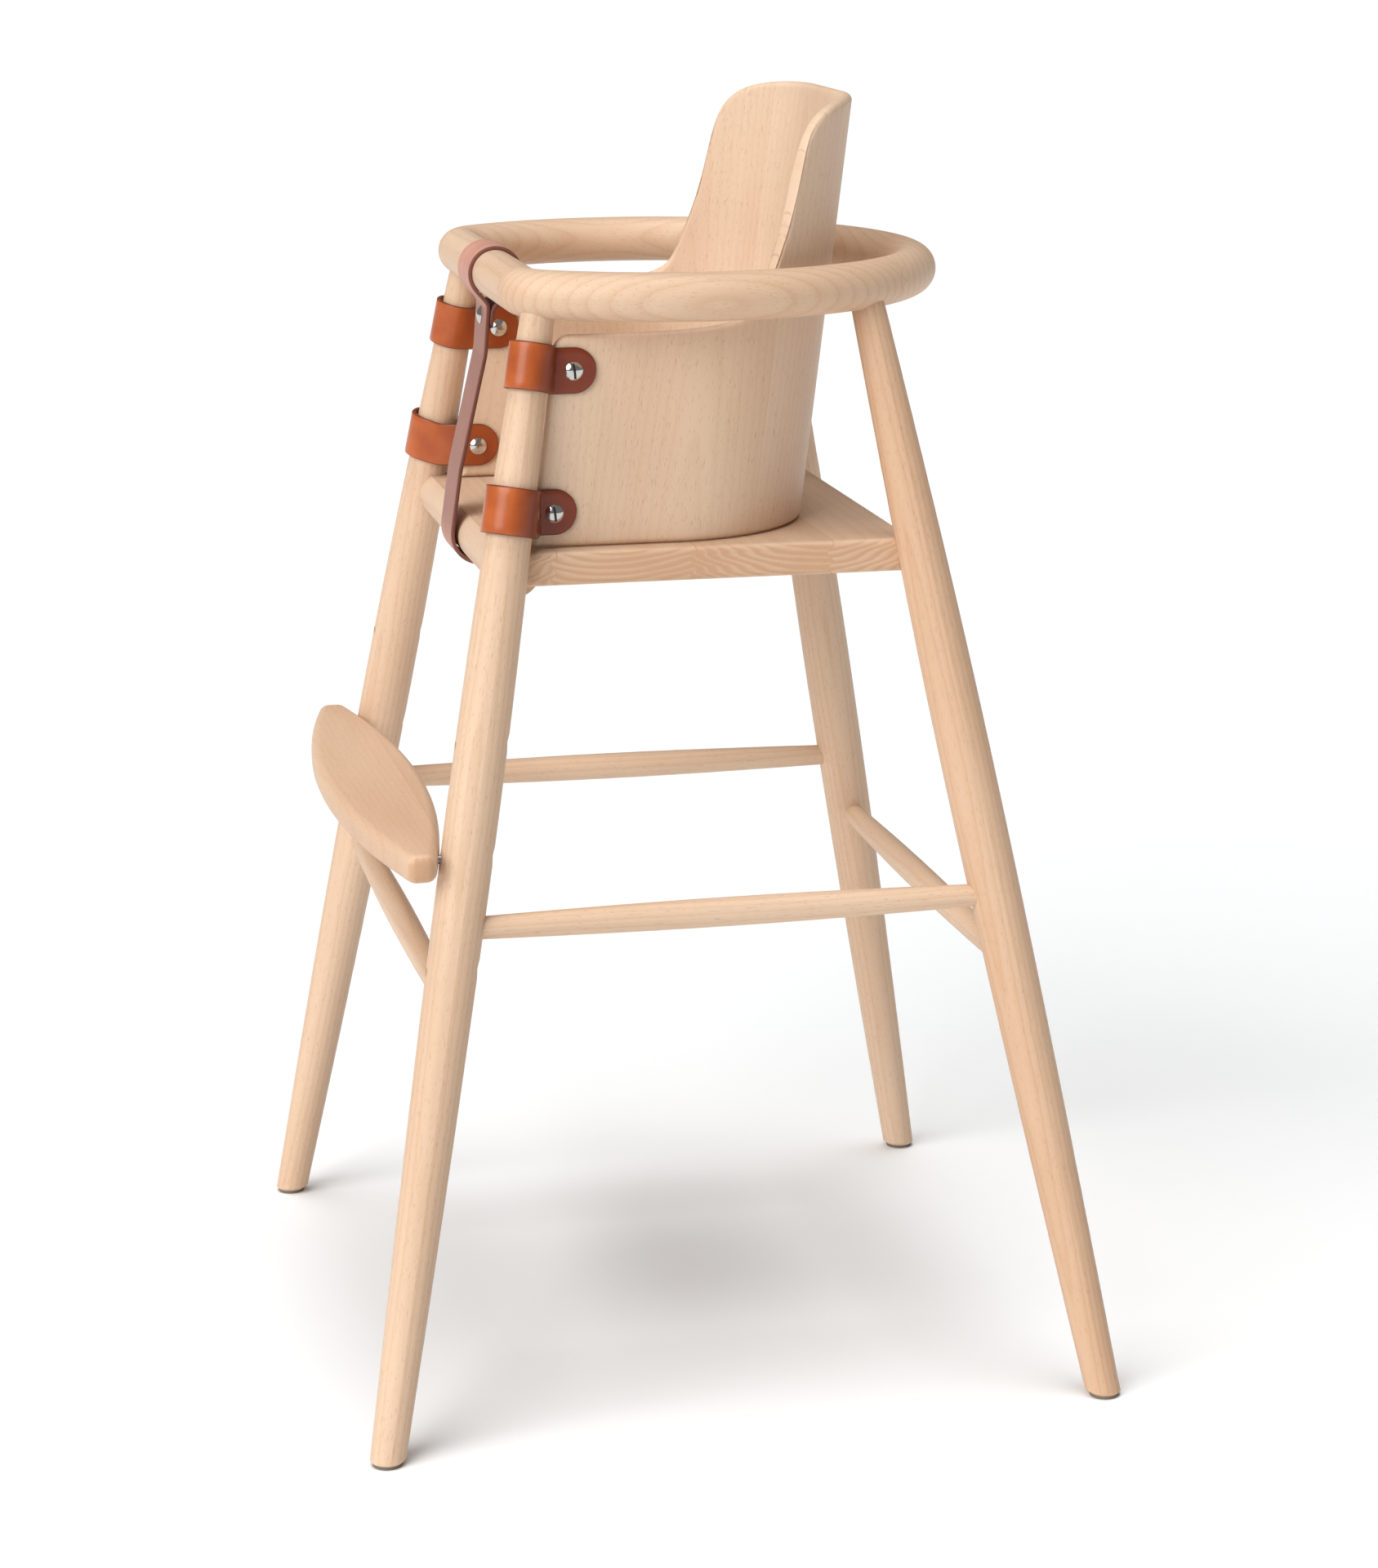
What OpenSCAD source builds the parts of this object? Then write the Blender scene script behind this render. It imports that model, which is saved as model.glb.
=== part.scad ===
// Beech baby high chair. Four splayed, cigar-shaped legs carry a glued hoop at table height,
// a seat board with a round front rail and four stretchers. A bent plywood shell stands on the
// seat, held to the front legs by leather tabs. A leather crotch strap runs from the hoop to the
// rail, and a lens-shaped footrest bolts to the front legs at one of three heights.
// Millimetres, +Z up, chair facing -Y, origin on the floor under the middle of the chair.

/* [Hoop] */
// Height of the hoop's centre line above the floor
hoop_z = 768; // [750:1:780]
// Radius of the hoop's round section
hoop_tube_r = 16.3; // [15.5:0.1:17.5]
// Radius of the hoop's big arc, on its centre line
hoop_r = 181; // [178:1:184]
// Centre of the big arc, in front of (-) or behind the middle of the chair
hoop_centre_y = -10; // [-12:1:-8]
// Straight front bar's centre line
hoop_front_y = -127.4; // [-130:0.2:-125]
// Radius of the two front corners, on the centre line
hoop_corner_r = 30; // [26:1:34]

/* [Legs] */
// Half the distance between the front feet
front_foot_x = 269; // [262:1:274]
// Front feet, in front of the middle
front_foot_y = -254; // [-258:1:-250]
// Half the distance between the front legs where they meet the hoop
front_top_x = 141; // [139:1:143]
// Front legs' meeting point with the hoop
front_top_y = -118; // [-120:1:-116]
// Half the distance between the back feet
back_foot_x = 264; // [258:1:270]
// Back feet, behind the middle
back_foot_y = 254; // [250:1:258]
// Half the distance between the back legs where they meet the hoop
back_top_x = 139; // [137:1:141]
// Back legs' meeting point with the hoop
back_top_y = 104; // [102:1:106]
// Leg radius at the foot
leg_foot_r = 12; // [11.5:0.1:13]
// Leg radius at its thickest
leg_belly_r = 17.8; // [17:0.1:18.2]
// Leg radius at the hoop
leg_top_r = 11; // [10.5:0.1:12]
// Height of the thickest place
belly_z = 430; // [410:5:450]
// Thickness of the glides under the feet
glide_t = 2.5; // [2:0.5:3]

/* [Stretchers] */
// Height of the two side stretchers
side_stretcher_z = 354; // [345:1:362]
// Height of the front and back stretchers
cross_stretcher_z = 306; // [300:1:306]
// Stretcher radius in the middle
stretcher_mid_r = 10; // [9.5:0.1:10.4]
// Stretcher radius at its ends
stretcher_end_r = 7.4; // [7:0.1:8]

/* [Seat] */
// Height of the seat surface
seat_z = 598; // [594:1:602]
// Thickness of the seat board
seat_t = 23; // [21:0.5:24]
// Half the width of the seat board
seat_half_w = 166; // [160:1:168]
// Back edge of the seat board
seat_back_y = 136; // [132:1:138]
// Radius of the round rail along the seat's front
rail_r = 16.5; // [16:0.1:17]
// Centre of the rail
rail_y = -139.5; // [-141:0.5:-138]

/* [Shell] */
// Half the outer width of the shell
shell_half_w = 149.5; // [147:0.5:150]
// Plywood thickness
shell_t = 9; // [8:0.5:10]
// Back face of the shell at the seat
shell_back_y = 83; // [80:1:86]
// Radius of the shell's two back bends
shell_bend_r = 113; // [108:1:118]
// Backward lean of the shell, in degrees
shell_lean = 6.9; // [6.4:0.1:7.4]
// Height of the shell's sides
side_top_z = 741; // [738:1:744]
// Height of the shell's back
back_top_z = 891; // [884:1:898]

/* [Leather] */
// Thickness of the leather
leather_t = 2.8; // [2.4:0.1:3]
// Width of the tabs
tab_w = 31; // [28:1:32]
// Height of the left upper tab
left_upper_tab_z = 717.5; // [713:0.5:719]
// Height of the right upper tab
right_upper_tab_z = 709.5; // [707:0.5:715]
// Height of the lower tabs
lower_tab_z = 622; // [620:0.5:624]
// Width of the crotch strap
strap_w = 45; // [40:1:48]

/* [Footrest] */
// Height of the footrest's middle
footrest_z = 401; // [398:1:404]
// Distance between its three heights
footrest_step = 74; // [72:1:74]
// Thickness of the footrest
footrest_t = 20; // [18:1:22]
// Half the length of the footrest
footrest_half_l = 228; // [222:1:232]
// Its front edge, in the middle
footrest_front_y = -254; // [-256:1:-250]
// Its back edge, in the middle
footrest_back_y = -182.4; // [-183:0.1:-182]

/* [Hidden] */
$fn = 96;

beech = [0.88, 0.76, 0.62];
beech_dark = [0.8, 0.66, 0.51];
ply = [0.9, 0.78, 0.65];
tan_leather = [0.62, 0.26, 0.11];
mauve_leather = [0.55, 0.38, 0.34];
bright_metal = [0.8, 0.8, 0.82];
dark_metal = [0.35, 0.35, 0.37];
brass_tone = [0.78, 0.65, 0.36];
glide_grey = [0.25, 0.24, 0.23];

// Hoop: where the corner arcs meet the big arc
corner_x = sqrt(pow(hoop_r - hoop_corner_r, 2) - pow(hoop_front_y + hoop_corner_r - hoop_centre_y, 2));
corner_y = hoop_front_y + hoop_corner_r;
corner_end_a = atan2(corner_y - hoop_centre_y, corner_x);
back_joint_a = 47;

// Fits between glued or bolted pieces
glue_gap = 0.05;
foot_chamfer = 2.4;
tenon_r = 8;
stretcher_tenon_r = 5.5;
stretcher_tenon_l = 14;
rail_tenon_r = 8;
rail_tenon_y = -146;
rail_tenon_x = 180;

// Rail and seat board
rail_z = seat_z - 14.5;
rail_half = 156;
seat_round_r = 5;
dowel_r = 4;
dowel_l = 34;
pin_r = 0.9;
pin_l = 22;

// Footrest fittings
bolt_r = 3;
bolt_clear = 0.08;
bolt_l = 40;
bolt_head_r = 5;
bolt_head_h = 6;
bolt_seat = 10;
counterbore_r = 5.6;
spot_r = 8;
spot_depth = 1.4;
insert_r = 4;
insert_l = 13;
footrest_half_chord = 228;
front_sagitta = 28;
back_sagitta = 25;
footrest_front_r = arc_radius(front_sagitta);
footrest_back_r = arc_radius(back_sagitta);
footrest_round_r = 7;
steps = [-1, 0, 1];

// Shell outline, seen from the side
shell_z = seat_z + 0.6;
shell_front_y = -127;
shell_front_slope = 0.122;
shell_corner_r = 12;
upper_post_y = -98;
left_posts_yz = [[upper_post_y, left_upper_tab_z], [-112, lower_tab_z]];
right_posts_yz = [[upper_post_y, right_upper_tab_z], [-114.5, lower_tab_z]];
post_r = 2.5;
screw_r = 1.5;
head_r = 6.2;
head_h = 3;
dome_r = 9;
slot_w = 1.6;
slot_depth = 1.6;
skin_gap = 0.3;
outer_flap_start = 1.5;
upper_inner_start = -0.8;
lower_inner_start = -3;

// Strap: the two plies meet under the hoop at strap_join (y, z)
strap_join = [-132.3, 746.5];
strap_knee = [-135, 712];
strap_belly = [-153.8, 631];
strap_gap = 0.3;
strap_slack = 2.1;
strap_split = 3;
strap_tail = 14;
stud_drop = 9.5;
strap_end_y = -96;
strap_screw_y = -106;
strap_wrap_end = 300;
strap_mid = leather_t / 2;
loop_r = hoop_tube_r + strap_gap + strap_mid;
loop_centre = [hoop_front_y, hoop_z];
wrap_r = rail_r + strap_slack + strap_mid;
wrap_centre = [rail_y - 0.7, rail_z + 1.8];
under_z = seat_z - seat_t - strap_gap - strap_mid;
washer_t = 1.2;
washer_r = 6.5;
washer_z = under_z - strap_mid - washer_t;
stud_half = leather_t + 0.15;
flange_r = 5.5;

function arc_radius(sagitta) = (pow(footrest_half_chord, 2) + pow(sagitta, 2)) / (2 * sagitta);

// A point on a leg's axis at height z, for the left legs (+X is the chair's left)
function front_axis(z) = [
    front_foot_x + (front_top_x - front_foot_x) * z / hoop_z,
    front_foot_y + (front_top_y - front_foot_y) * z / hoop_z,
    z
];
function back_axis(z) = [
    back_foot_x + (back_top_x - back_foot_x) * z / hoop_z,
    back_foot_y + (back_top_y - back_foot_y) * z / hoop_z,
    z
];

// Leg radius at height z: it swells to the belly and tapers again to the hoop
function leg_r(z) = z < belly_z
    ? leg_foot_r + (leg_belly_r - leg_foot_r) * sin(90 * z / belly_z)
    : leg_top_r + (leg_belly_r - leg_top_r) * cos(90 * (z - belly_z) / (hoop_z - belly_z));
function bolt_x(z) = front_axis(z)[0];
function bolt_y(z) = front_axis(z)[1];
function dir(a) = [cos(a), sin(a)];
// Direction from a circle's centre to where the tangent from point p touches it
function tangent_angle(centre, p, r, side) =
    atan2(p[1] - centre[1], p[0] - centre[0]) + side * acos(r / norm(p - centre));
// Point at t on a cubic curve with the ends a and d
function bezier(a, b, c, d, t) =
    pow(1 - t, 3) * a + 3 * pow(1 - t, 2) * t * b + 3 * (1 - t) * t * t * c + pow(t, 3) * d;

// Moves to a and tips +Z over to point at b, without turning about it
module along(a, b) {
    d = b - a;
    heading = atan2(d[1], d[0]);
    translate(a)
        rotate([0, 0, heading]) rotate([0, acos(d[2] / norm(d)), 0]) rotate([0, 0, -heading])
            children();
}

module both_sides() {
    children();
    mirror([1, 0, 0]) children();
}

// ---- Hoop ----

// An arc that starts on the X axis and turns towards Y
module hoop_arc(radius, sweep) {
    rotate_extrude(angle = sweep, $fn = 180) translate([radius, 0]) circle(r = hoop_tube_r);
}

module hoop_bar() {
    half_l = corner_x - 0.02;
    translate([-half_l, hoop_front_y, hoop_z])
        rotate([0, 90, 0]) cylinder(r = hoop_tube_r, h = 2 * half_l);
}

// Left side: the big arc up to the back joint, and the tighter front corner that runs on from it
module hoop_side() {
    translate([0, hoop_centre_y, hoop_z]) rotate([0, 0, corner_end_a]) {
        hoop_arc(hoop_r, back_joint_a - corner_end_a);
        translate([hoop_r - hoop_corner_r, 0, 0])
            mirror([0, 1, 0]) hoop_arc(hoop_corner_r, 90 + corner_end_a);
    }
}

module hoop_tenon(axis_low, axis_top, extra_r, extra_l) {
    along(axis_low, axis_top)
        cylinder(r = tenon_r + extra_r, h = norm(axis_top - axis_low) + extra_l);
}

module leg_tenons(extra_r, extra_l) {
    hoop_tenon(front_axis(hoop_z - 40), front_axis(hoop_z - 4), extra_r, extra_l);
    hoop_tenon(back_axis(hoop_z - 40), back_axis(hoop_z - 4), extra_r, extra_l);
}

module hoop_front() {
    color(beech) hoop_bar();
}

module hoop_left() {
    color(beech) difference() {
        hoop_side();
        leg_tenons(glue_gap, 1);
    }
}

module hoop_right() {
    mirror([1, 0, 0]) hoop_left();
}

module hoop_back() {
    color(beech_dark)
        translate([0, hoop_centre_y, hoop_z]) rotate([0, 0, back_joint_a])
            hoop_arc(hoop_r, 180 - 2 * back_joint_a);
}

// ---- Legs ----

// The turned leg before any joint is cut, from just below the floor to the hoop's centre
module leg_blank(foot, top) {
    bands = 26;
    low = -6;
    length = norm(top - foot);
    stretch = length / hoop_z;
    heights = [for (i = [0 : bands]) low + (hoop_z - low) * i / bands];
    surface = [for (z = heights) [leg_r(max(z, 0)), z * stretch]];
    outline = concat([[0, low * stretch]], surface, [[0, length]]);
    along(foot, top) rotate_extrude() polygon(outline);
}

module front_blank() {
    leg_blank(front_axis(0), front_axis(hoop_z));
}

module back_blank() {
    leg_blank(back_axis(0), back_axis(hoop_z));
}

module all_blanks() {
    both_sides() {
        front_blank();
        back_blank();
    }
}

// Cuts the foot off level above its glide and takes off its sharp edge
module floor_cut(at) {
    translate([at[0] - 40, at[1] - 40, -60]) cube([80, 80, 60 + glide_t]);
    translate([at[0], at[1], glide_t]) difference() {
        cylinder(r = leg_foot_r + 10, h = foot_chamfer);
        cylinder(r1 = leg_foot_r - foot_chamfer + 0.8, r2 = leg_foot_r + 0.8, h = foot_chamfer);
    }
}

// Through hole, counterbore and spot face for the footrest bolt at height z, from behind
module bolt_hole(z) {
    translate([bolt_x(z), bolt_y(z), z]) rotate([-90, 0, 0]) {
        translate([0, 0, -30]) cylinder(r = bolt_r + bolt_clear, h = 60);
        translate([0, 0, bolt_seat]) cylinder(r = counterbore_r, h = 20);
        translate([0, 0, leg_r(z) - spot_depth]) cylinder(r = spot_r, h = 12);
    }
}

module side_tenon(extra) {
    low = front_axis(side_stretcher_z);
    high = back_axis(side_stretcher_z);
    reach = stretcher_tenon_l - leg_r(side_stretcher_z);
    along(low, high) translate([0, 0, -reach - extra])
        cylinder(r = stretcher_tenon_r + extra, h = norm(high - low) + 2 * reach + 2 * extra);
}

module cross_tenon(at, extra) {
    reach = stretcher_tenon_l - leg_r(cross_stretcher_z);
    translate([-at[0] - reach - extra, at[1], cross_stretcher_z]) rotate([0, 90, 0])
        cylinder(r = stretcher_tenon_r + extra, h = 2 * (at[0] + reach + extra));
}

module rail_tenon(extra) {
    translate([-rail_tenon_x - extra, rail_tenon_y, rail_z]) rotate([0, 90, 0])
        cylinder(r = rail_tenon_r + extra, h = 2 * (rail_tenon_x + extra));
}

module seat_dowel(extra) {
    at = back_axis(seat_z - seat_t / 2);
    translate(at) rotate([0, 0, -135]) rotate([0, 90, 0])
        translate([0, 0, -extra]) cylinder(r = dowel_r + extra, h = dowel_l + 2 * extra);
}

// Brads that lock the rail's tenons, driven in slantwise where they show least
module rail_pin_left(extra) {
    along([183.5, -149, seat_z + 3], [168, -146, seat_z - 14])
        cylinder(r = pin_r + extra, h = pin_l);
}

module rail_pin_right(extra) {
    along([-160.6, -160, seat_z - 5], [-172, -141, seat_z - 15])
        cylinder(r = pin_r + extra, h = pin_l);
}

module glide_nail(at, extra) {
    translate([at[0], at[1], 0]) cylinder(r = 1.25 + extra, h = 16 + extra);
}

module front_leg_body() {
    difference() {
        union() {
            difference() {
                front_blank();
                hoop_side();
            }
            hoop_tenon(front_axis(hoop_z - 40), front_axis(hoop_z - 4), 0, 0);
        }
        floor_cut(front_axis(0));
        for (i = steps) bolt_hole(footrest_z + i * footrest_step);
        side_tenon(glue_gap);
        cross_tenon(front_axis(cross_stretcher_z), glue_gap);
        rail_tenon(glue_gap);
        glide_nail(front_axis(0), glue_gap);
    }
}

module leg_front_left() {
    color(beech) difference() {
        front_leg_body();
        rail_pin_left(glue_gap);
    }
}

module leg_front_right() {
    color(beech) difference() {
        mirror([1, 0, 0]) front_leg_body();
        rail_pin_right(glue_gap);
    }
}

module leg_back_left() {
    color(beech) difference() {
        union() {
            difference() {
                back_blank();
                hoop_side();
            }
            hoop_tenon(back_axis(hoop_z - 40), back_axis(hoop_z - 4), 0, 0);
        }
        floor_cut(back_axis(0));
        side_tenon(glue_gap);
        cross_tenon(back_axis(cross_stretcher_z), glue_gap);
        seat_dowel(glue_gap);
        glide_nail(back_axis(0), glue_gap);
    }
}

module leg_back_right() {
    mirror([1, 0, 0]) leg_back_left();
}

// Nail-on glide, a little smaller than the foot
module glide(at) {
    color(glide_grey) {
        translate([at[0], at[1], 0]) cylinder(r = leg_foot_r - 2, h = glide_t);
        glide_nail(at, 0);
    }
}

module glide_front_left() {
    glide(front_axis(0));
}

module glide_back_left() {
    glide(back_axis(0));
}

module glide_front_right() {
    mirror([1, 0, 0]) glide_front_left();
}

module glide_back_right() {
    mirror([1, 0, 0]) glide_back_left();
}

// ---- Stretchers ----

// A turned stretcher between two leg axes: thick in the middle, thin at both ends
module stretcher_blank(a, b) {
    bands = 14;
    length = norm(b - a);
    places = [for (i = [0 : bands]) i / bands];
    outline = concat(
        [[0, 0]],
        [for (t = places) [stretcher_end_r + (stretcher_mid_r - stretcher_end_r) * sin(180 * t), t * length]],
        [[0, length]]
    );
    along(a, b) rotate_extrude() polygon(outline);
}

module stretcher_left() {
    color(beech) {
        difference() {
            stretcher_blank(front_axis(side_stretcher_z), back_axis(side_stretcher_z));
            front_blank();
            back_blank();
        }
        side_tenon(0);
    }
}

module stretcher_right() {
    mirror([1, 0, 0]) stretcher_left();
}

module cross_stretcher(at) {
    mirrored = [-at[0], at[1], at[2]];
    color(beech) {
        difference() {
            stretcher_blank(mirrored, at);
            all_blanks();
        }
        cross_tenon(at, 0);
    }
}

module stretcher_front() {
    cross_stretcher(front_axis(cross_stretcher_z));
}

module stretcher_back() {
    cross_stretcher(back_axis(cross_stretcher_z));
}

// ---- Seat board and rail ----

// Round rail, planed flat on top and rebated at the back for the seat board
module seat_rail() {
    color(beech) difference() {
        union() {
            difference() {
                translate([-rail_half, rail_y, rail_z]) rotate([0, 90, 0])
                    cylinder(r = rail_r, h = 2 * rail_half);
                all_blanks();
            }
            rail_tenon(0);
        }
        translate([-200, -200, seat_z]) cube([400, 120, 20]);
        translate([-seat_half_w - 1, rail_y, seat_z - seat_t]) cube([2 * seat_half_w + 2, 40, 40]);
        rail_pin_left(glue_gap);
        rail_pin_right(glue_gap);
    }
}

// A board's section with its edges rounded, lying on the X axis
module round_edged_section(width) {
    translate([0, seat_t / 2]) {
        square([width, seat_t - 2 * seat_round_r], center = true);
        square([width - 2 * seat_round_r, seat_t], center = true);
        for (sx = [-1, 1], sz = [-1, 1])
            translate([sx * (width / 2 - seat_round_r), sz * (seat_t / 2 - seat_round_r)])
                circle(r = seat_round_r, $fn = 48);
    }
}

module seat_board() {
    depth = seat_back_y - rail_y;
    color(beech) difference() {
        intersection() {
            translate([0, seat_back_y, seat_z - seat_t]) rotate([90, 0, 0])
                linear_extrude(depth) round_edged_section(2 * seat_half_w);
            translate([-200, seat_back_y - 2 * depth, seat_z - seat_t]) rotate([90, 0, 90])
                linear_extrude(400) translate([depth, 0]) round_edged_section(2 * depth);
        }
        all_blanks();
        both_sides() seat_dowel(glue_gap);
        translate([0, strap_screw_y, seat_z - seat_t - 1]) cylinder(r = screw_r + glue_gap, h = 13);
    }
}

module seat_dowels() {
    color(beech_dark) both_sides() seat_dowel(0);
}

module rail_pins() {
    color(dark_metal) {
        rail_pin_left(0);
        rail_pin_right(0);
    }
}

// ---- Shell ----

// The bent sheet's section: two sides, two bends and the back
module shell_section(inset) {
    half_w = shell_half_w - inset;
    bend = shell_bend_r - inset;
    mid_y = shell_back_y - shell_bend_r;
    front = -200;
    translate([-half_w, front]) square([2 * half_w, mid_y - front]);
    translate([-(shell_half_w - shell_bend_r), front])
        square([2 * (shell_half_w - shell_bend_r), shell_back_y - inset - front]);
    for (side = [-1, 1])
        translate([side * (shell_half_w - shell_bend_r), mid_y]) circle(r = bend, $fn = 144);
}

// The shell seen from the side: low sides, a hollow rise and a rounded back
module shell_side_view() {
    corner_z = side_top_z - shell_corner_r;
    front_top_y = shell_front_y + shell_front_slope * (corner_z - shell_z);
    rise_from = [-81, side_top_z];
    rise_mid = [40, side_top_z + 36];
    rise_top = [132, back_top_z];
    rise_dir = dir(66.6);
    points = 18;
    polygon(concat(
        [[shell_front_y, shell_z], [front_top_y, corner_z]],
        [for (i = [1 : 6]) [
            front_top_y + shell_corner_r * (1 - cos(15 * i)),
            corner_z + shell_corner_r * sin(15 * i)
        ]],
        [for (i = [0 : points])
            bezier(rise_from, rise_from + [117, 0], rise_mid - 31.5 * rise_dir, rise_mid, i / points)],
        [for (i = [1 : points])
            bezier(rise_mid, rise_mid + 88 * rise_dir, rise_top - [88, 0], rise_top, i / points)],
        [[150, back_top_z], [150, shell_z]]
    ));
}

module seat_shell() {
    height = back_top_z - shell_z + 60;
    color(ply) difference() {
        intersection() {
            translate([0, 0, shell_z]) rotate([-shell_lean, 0, 0]) translate([0, 0, -20])
                linear_extrude(height) difference() {
                    shell_section(0);
                    shell_section(shell_t);
                }
            translate([-200, 0, 0]) rotate([90, 0, 90]) linear_extrude(400) shell_side_view();
        }
        for (yz = left_posts_yz)
            translate([0, yz[0], yz[1]]) rotate([0, 90, 0]) cylinder(r = post_r + glue_gap, h = 200);
        for (yz = right_posts_yz)
            translate([-200, yz[0], yz[1]]) rotate([0, 90, 0]) cylinder(r = post_r + glue_gap, h = 200);
    }
}

// ---- Leather tabs ----

// One flap of a tab, against the face of the shell at x
module tab_flap(x, from_y, post_yz) {
    translate([x, 0, 0]) rotate([90, 0, 90]) linear_extrude(leather_t) {
        translate(post_yz) circle(d = tab_w);
        translate([from_y, post_yz[1] - tab_w / 2]) square([post_yz[0] - from_y, tab_w]);
    }
}

// Left tab: a band round the leg, and two flaps that hold the shell between them
module tab(post_yz, inner_flap_start) {
    z = post_yz[1];
    inner_x = shell_half_w - shell_t - leather_t;
    outer_x = shell_half_w;
    edge_y = shell_front_y + shell_front_slope * (z - shell_z);
    outer_y = edge_y + outer_flap_start;
    inner_y = edge_y + inner_flap_start;
    hug_r = leg_r(z - tab_w / 2) + skin_gap;
    middle_r = hug_r + leather_t / 2;
    centre = [front_axis(z)[0], front_axis(z)[1]];
    outer_a = tangent_angle(centre, [outer_x + leather_t / 2, outer_y], middle_r, -1);
    inner_a = tangent_angle(centre, [inner_x + leather_t / 2, inner_y], middle_r, 1);
    difference() {
        union() {
            along(front_axis(z), front_axis(z + 1)) tab_band(hug_r, outer_a, inner_a);
            difference() {
                union() {
                    tab_web(z, hug_r, outer_a, -1.2, outer_x, outer_y);
                    tab_web(z, hug_r, inner_a, 0.6, inner_x, inner_y);
                    tab_flap(outer_x, outer_y, post_yz);
                    tab_flap(inner_x, inner_y, post_yz);
                }
                along(front_axis(z), front_axis(z + 1)) translate([0, 0, -tab_w])
                    cylinder(r = hug_r - 0.1, h = 2 * tab_w);
            }
        }
        translate([inner_x - 10, post_yz[0], z]) rotate([0, 90, 0])
            cylinder(r = post_r + glue_gap, h = 40);
    }
}

// The part that runs round the leg, open at the back from the outer to the inner angle
module tab_band(hug_r, outer_a, inner_a) {
    translate([0, 0, -tab_w / 2]) linear_extrude(tab_w) difference() {
        circle(r = hug_r + leather_t);
        circle(r = hug_r);
        polygon([
            [0, 0], 60 * dir(outer_a), 60 * dir((outer_a + inner_a) / 2), 60 * dir(inner_a)
        ]);
    }
}

// Straight stretch of leather from the band to a flap
module tab_web(z, hug_r, a, sunk, x, start_y) {
    hull() {
        along(front_axis(z), front_axis(z + 1)) rotate([0, 0, a])
            translate([hug_r + 0.1, sunk, 0.2 - tab_w / 2]) cube([leather_t - 0.2, 0.6, tab_w - 0.4]);
        translate([x + 0.1, start_y + 1, z + 0.2 - tab_w / 2])
            cube([leather_t - 0.2, 0.6, tab_w - 0.4]);
    }
}

module tab_upper_left() {
    color(tan_leather) tab(left_posts_yz[0], upper_inner_start);
}

module tab_lower_left() {
    color(tan_leather) tab(left_posts_yz[1], lower_inner_start);
}

module tab_upper_right() {
    color(tan_leather) mirror([1, 0, 0]) tab(right_posts_yz[0], upper_inner_start);
}

module tab_lower_right() {
    color(tan_leather) mirror([1, 0, 0]) tab(right_posts_yz[1], lower_inner_start);
}

// Puts a left fitting at each screw of both sides
module at_tab_posts() {
    for (yz = left_posts_yz) translate([0, yz[0], yz[1]]) children();
    for (yz = right_posts_yz) mirror([1, 0, 0]) translate([0, yz[0], yz[1]]) children();
}

// Slotted outer screw of each tab, with its shank inside the post
module tab_screws() {
    head_x = shell_half_w + leather_t;
    color(bright_metal) at_tab_posts()
        translate([head_x, 0, 0]) rotate([0, 90, 0]) {
            difference() {
                intersection() {
                    cylinder(r = head_r, h = head_h);
                    translate([0, 0, head_h - dome_r]) sphere(r = dome_r);
                }
                rotate([0, 0, 8]) translate([-10, -slot_w / 2, head_h - slot_depth])
                    cube([20, slot_w, 5]);
            }
            translate([0, 0, -11]) cylinder(r = screw_r, h = 11.5);
        }
}

// Inner dome and barrel of each tab's screw
module tab_posts() {
    cap_x = shell_half_w - shell_t - leather_t;
    barrel_l = shell_t + 2 * leather_t - 0.6;
    color(bright_metal) at_tab_posts()
        translate([cap_x, 0, 0]) rotate([0, 90, 0]) difference() {
            union() {
                intersection() {
                    translate([0, 0, -head_h]) cylinder(r = head_r, h = head_h);
                    translate([0, 0, dome_r - head_h]) sphere(r = dome_r);
                }
                translate([0, 0, -0.5]) cylinder(r = post_r, h = barrel_l + 0.5);
            }
            translate([0, 0, 1]) cylinder(r = screw_r + 0.2, h = 40);
        }
}

// ---- Crotch strap ----

loop_front_a = tangent_angle(loop_centre, strap_join, loop_r, -1) + 360;
wrap_start_a = tangent_angle(wrap_centre, strap_belly, wrap_r, 1);
strap_down = (strap_knee - strap_join) / norm(strap_knee - strap_join);
strap_back = [-strap_down[1], strap_down[0]];
ply_pitch = leather_t + 0.2;
back_join = strap_join + ply_pitch * strap_back + strap_split * strap_down;
loop_back_a = tangent_angle(loop_centre, back_join, loop_r, 1);

// The strap's middle line (y, z): short back ply, over the hoop, down the front, under the rail
strap_line = concat(
    [back_join + strap_tail * strap_down, back_join],
    [for (i = [0 : 20]) loop_centre + loop_r * dir(loop_back_a + (loop_front_a - loop_back_a) * i / 20)],
    [strap_join, strap_knee, strap_belly],
    [for (i = [0 : 12]) wrap_centre + wrap_r * dir(wrap_start_a + (strap_wrap_end - wrap_start_a) * i / 12)],
    [[-116, under_z], [strap_end_y, under_z]]
);

function side_of(line, i) = let (
    a = line[max(i - 1, 0)],
    b = line[min(i + 1, len(line) - 1)],
    d = (b - a) / norm(b - a)
) [-d[1], d[0]];

// Middle of the stud, between the plies, with +Z pointing out of the front
module at_stud() {
    at = strap_join + stud_drop * strap_down + ply_pitch / 2 * strap_back;
    translate([0, at[0], at[1]]) rotate([acos(-strap_back[1]), 0, 0]) children();
}

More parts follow.
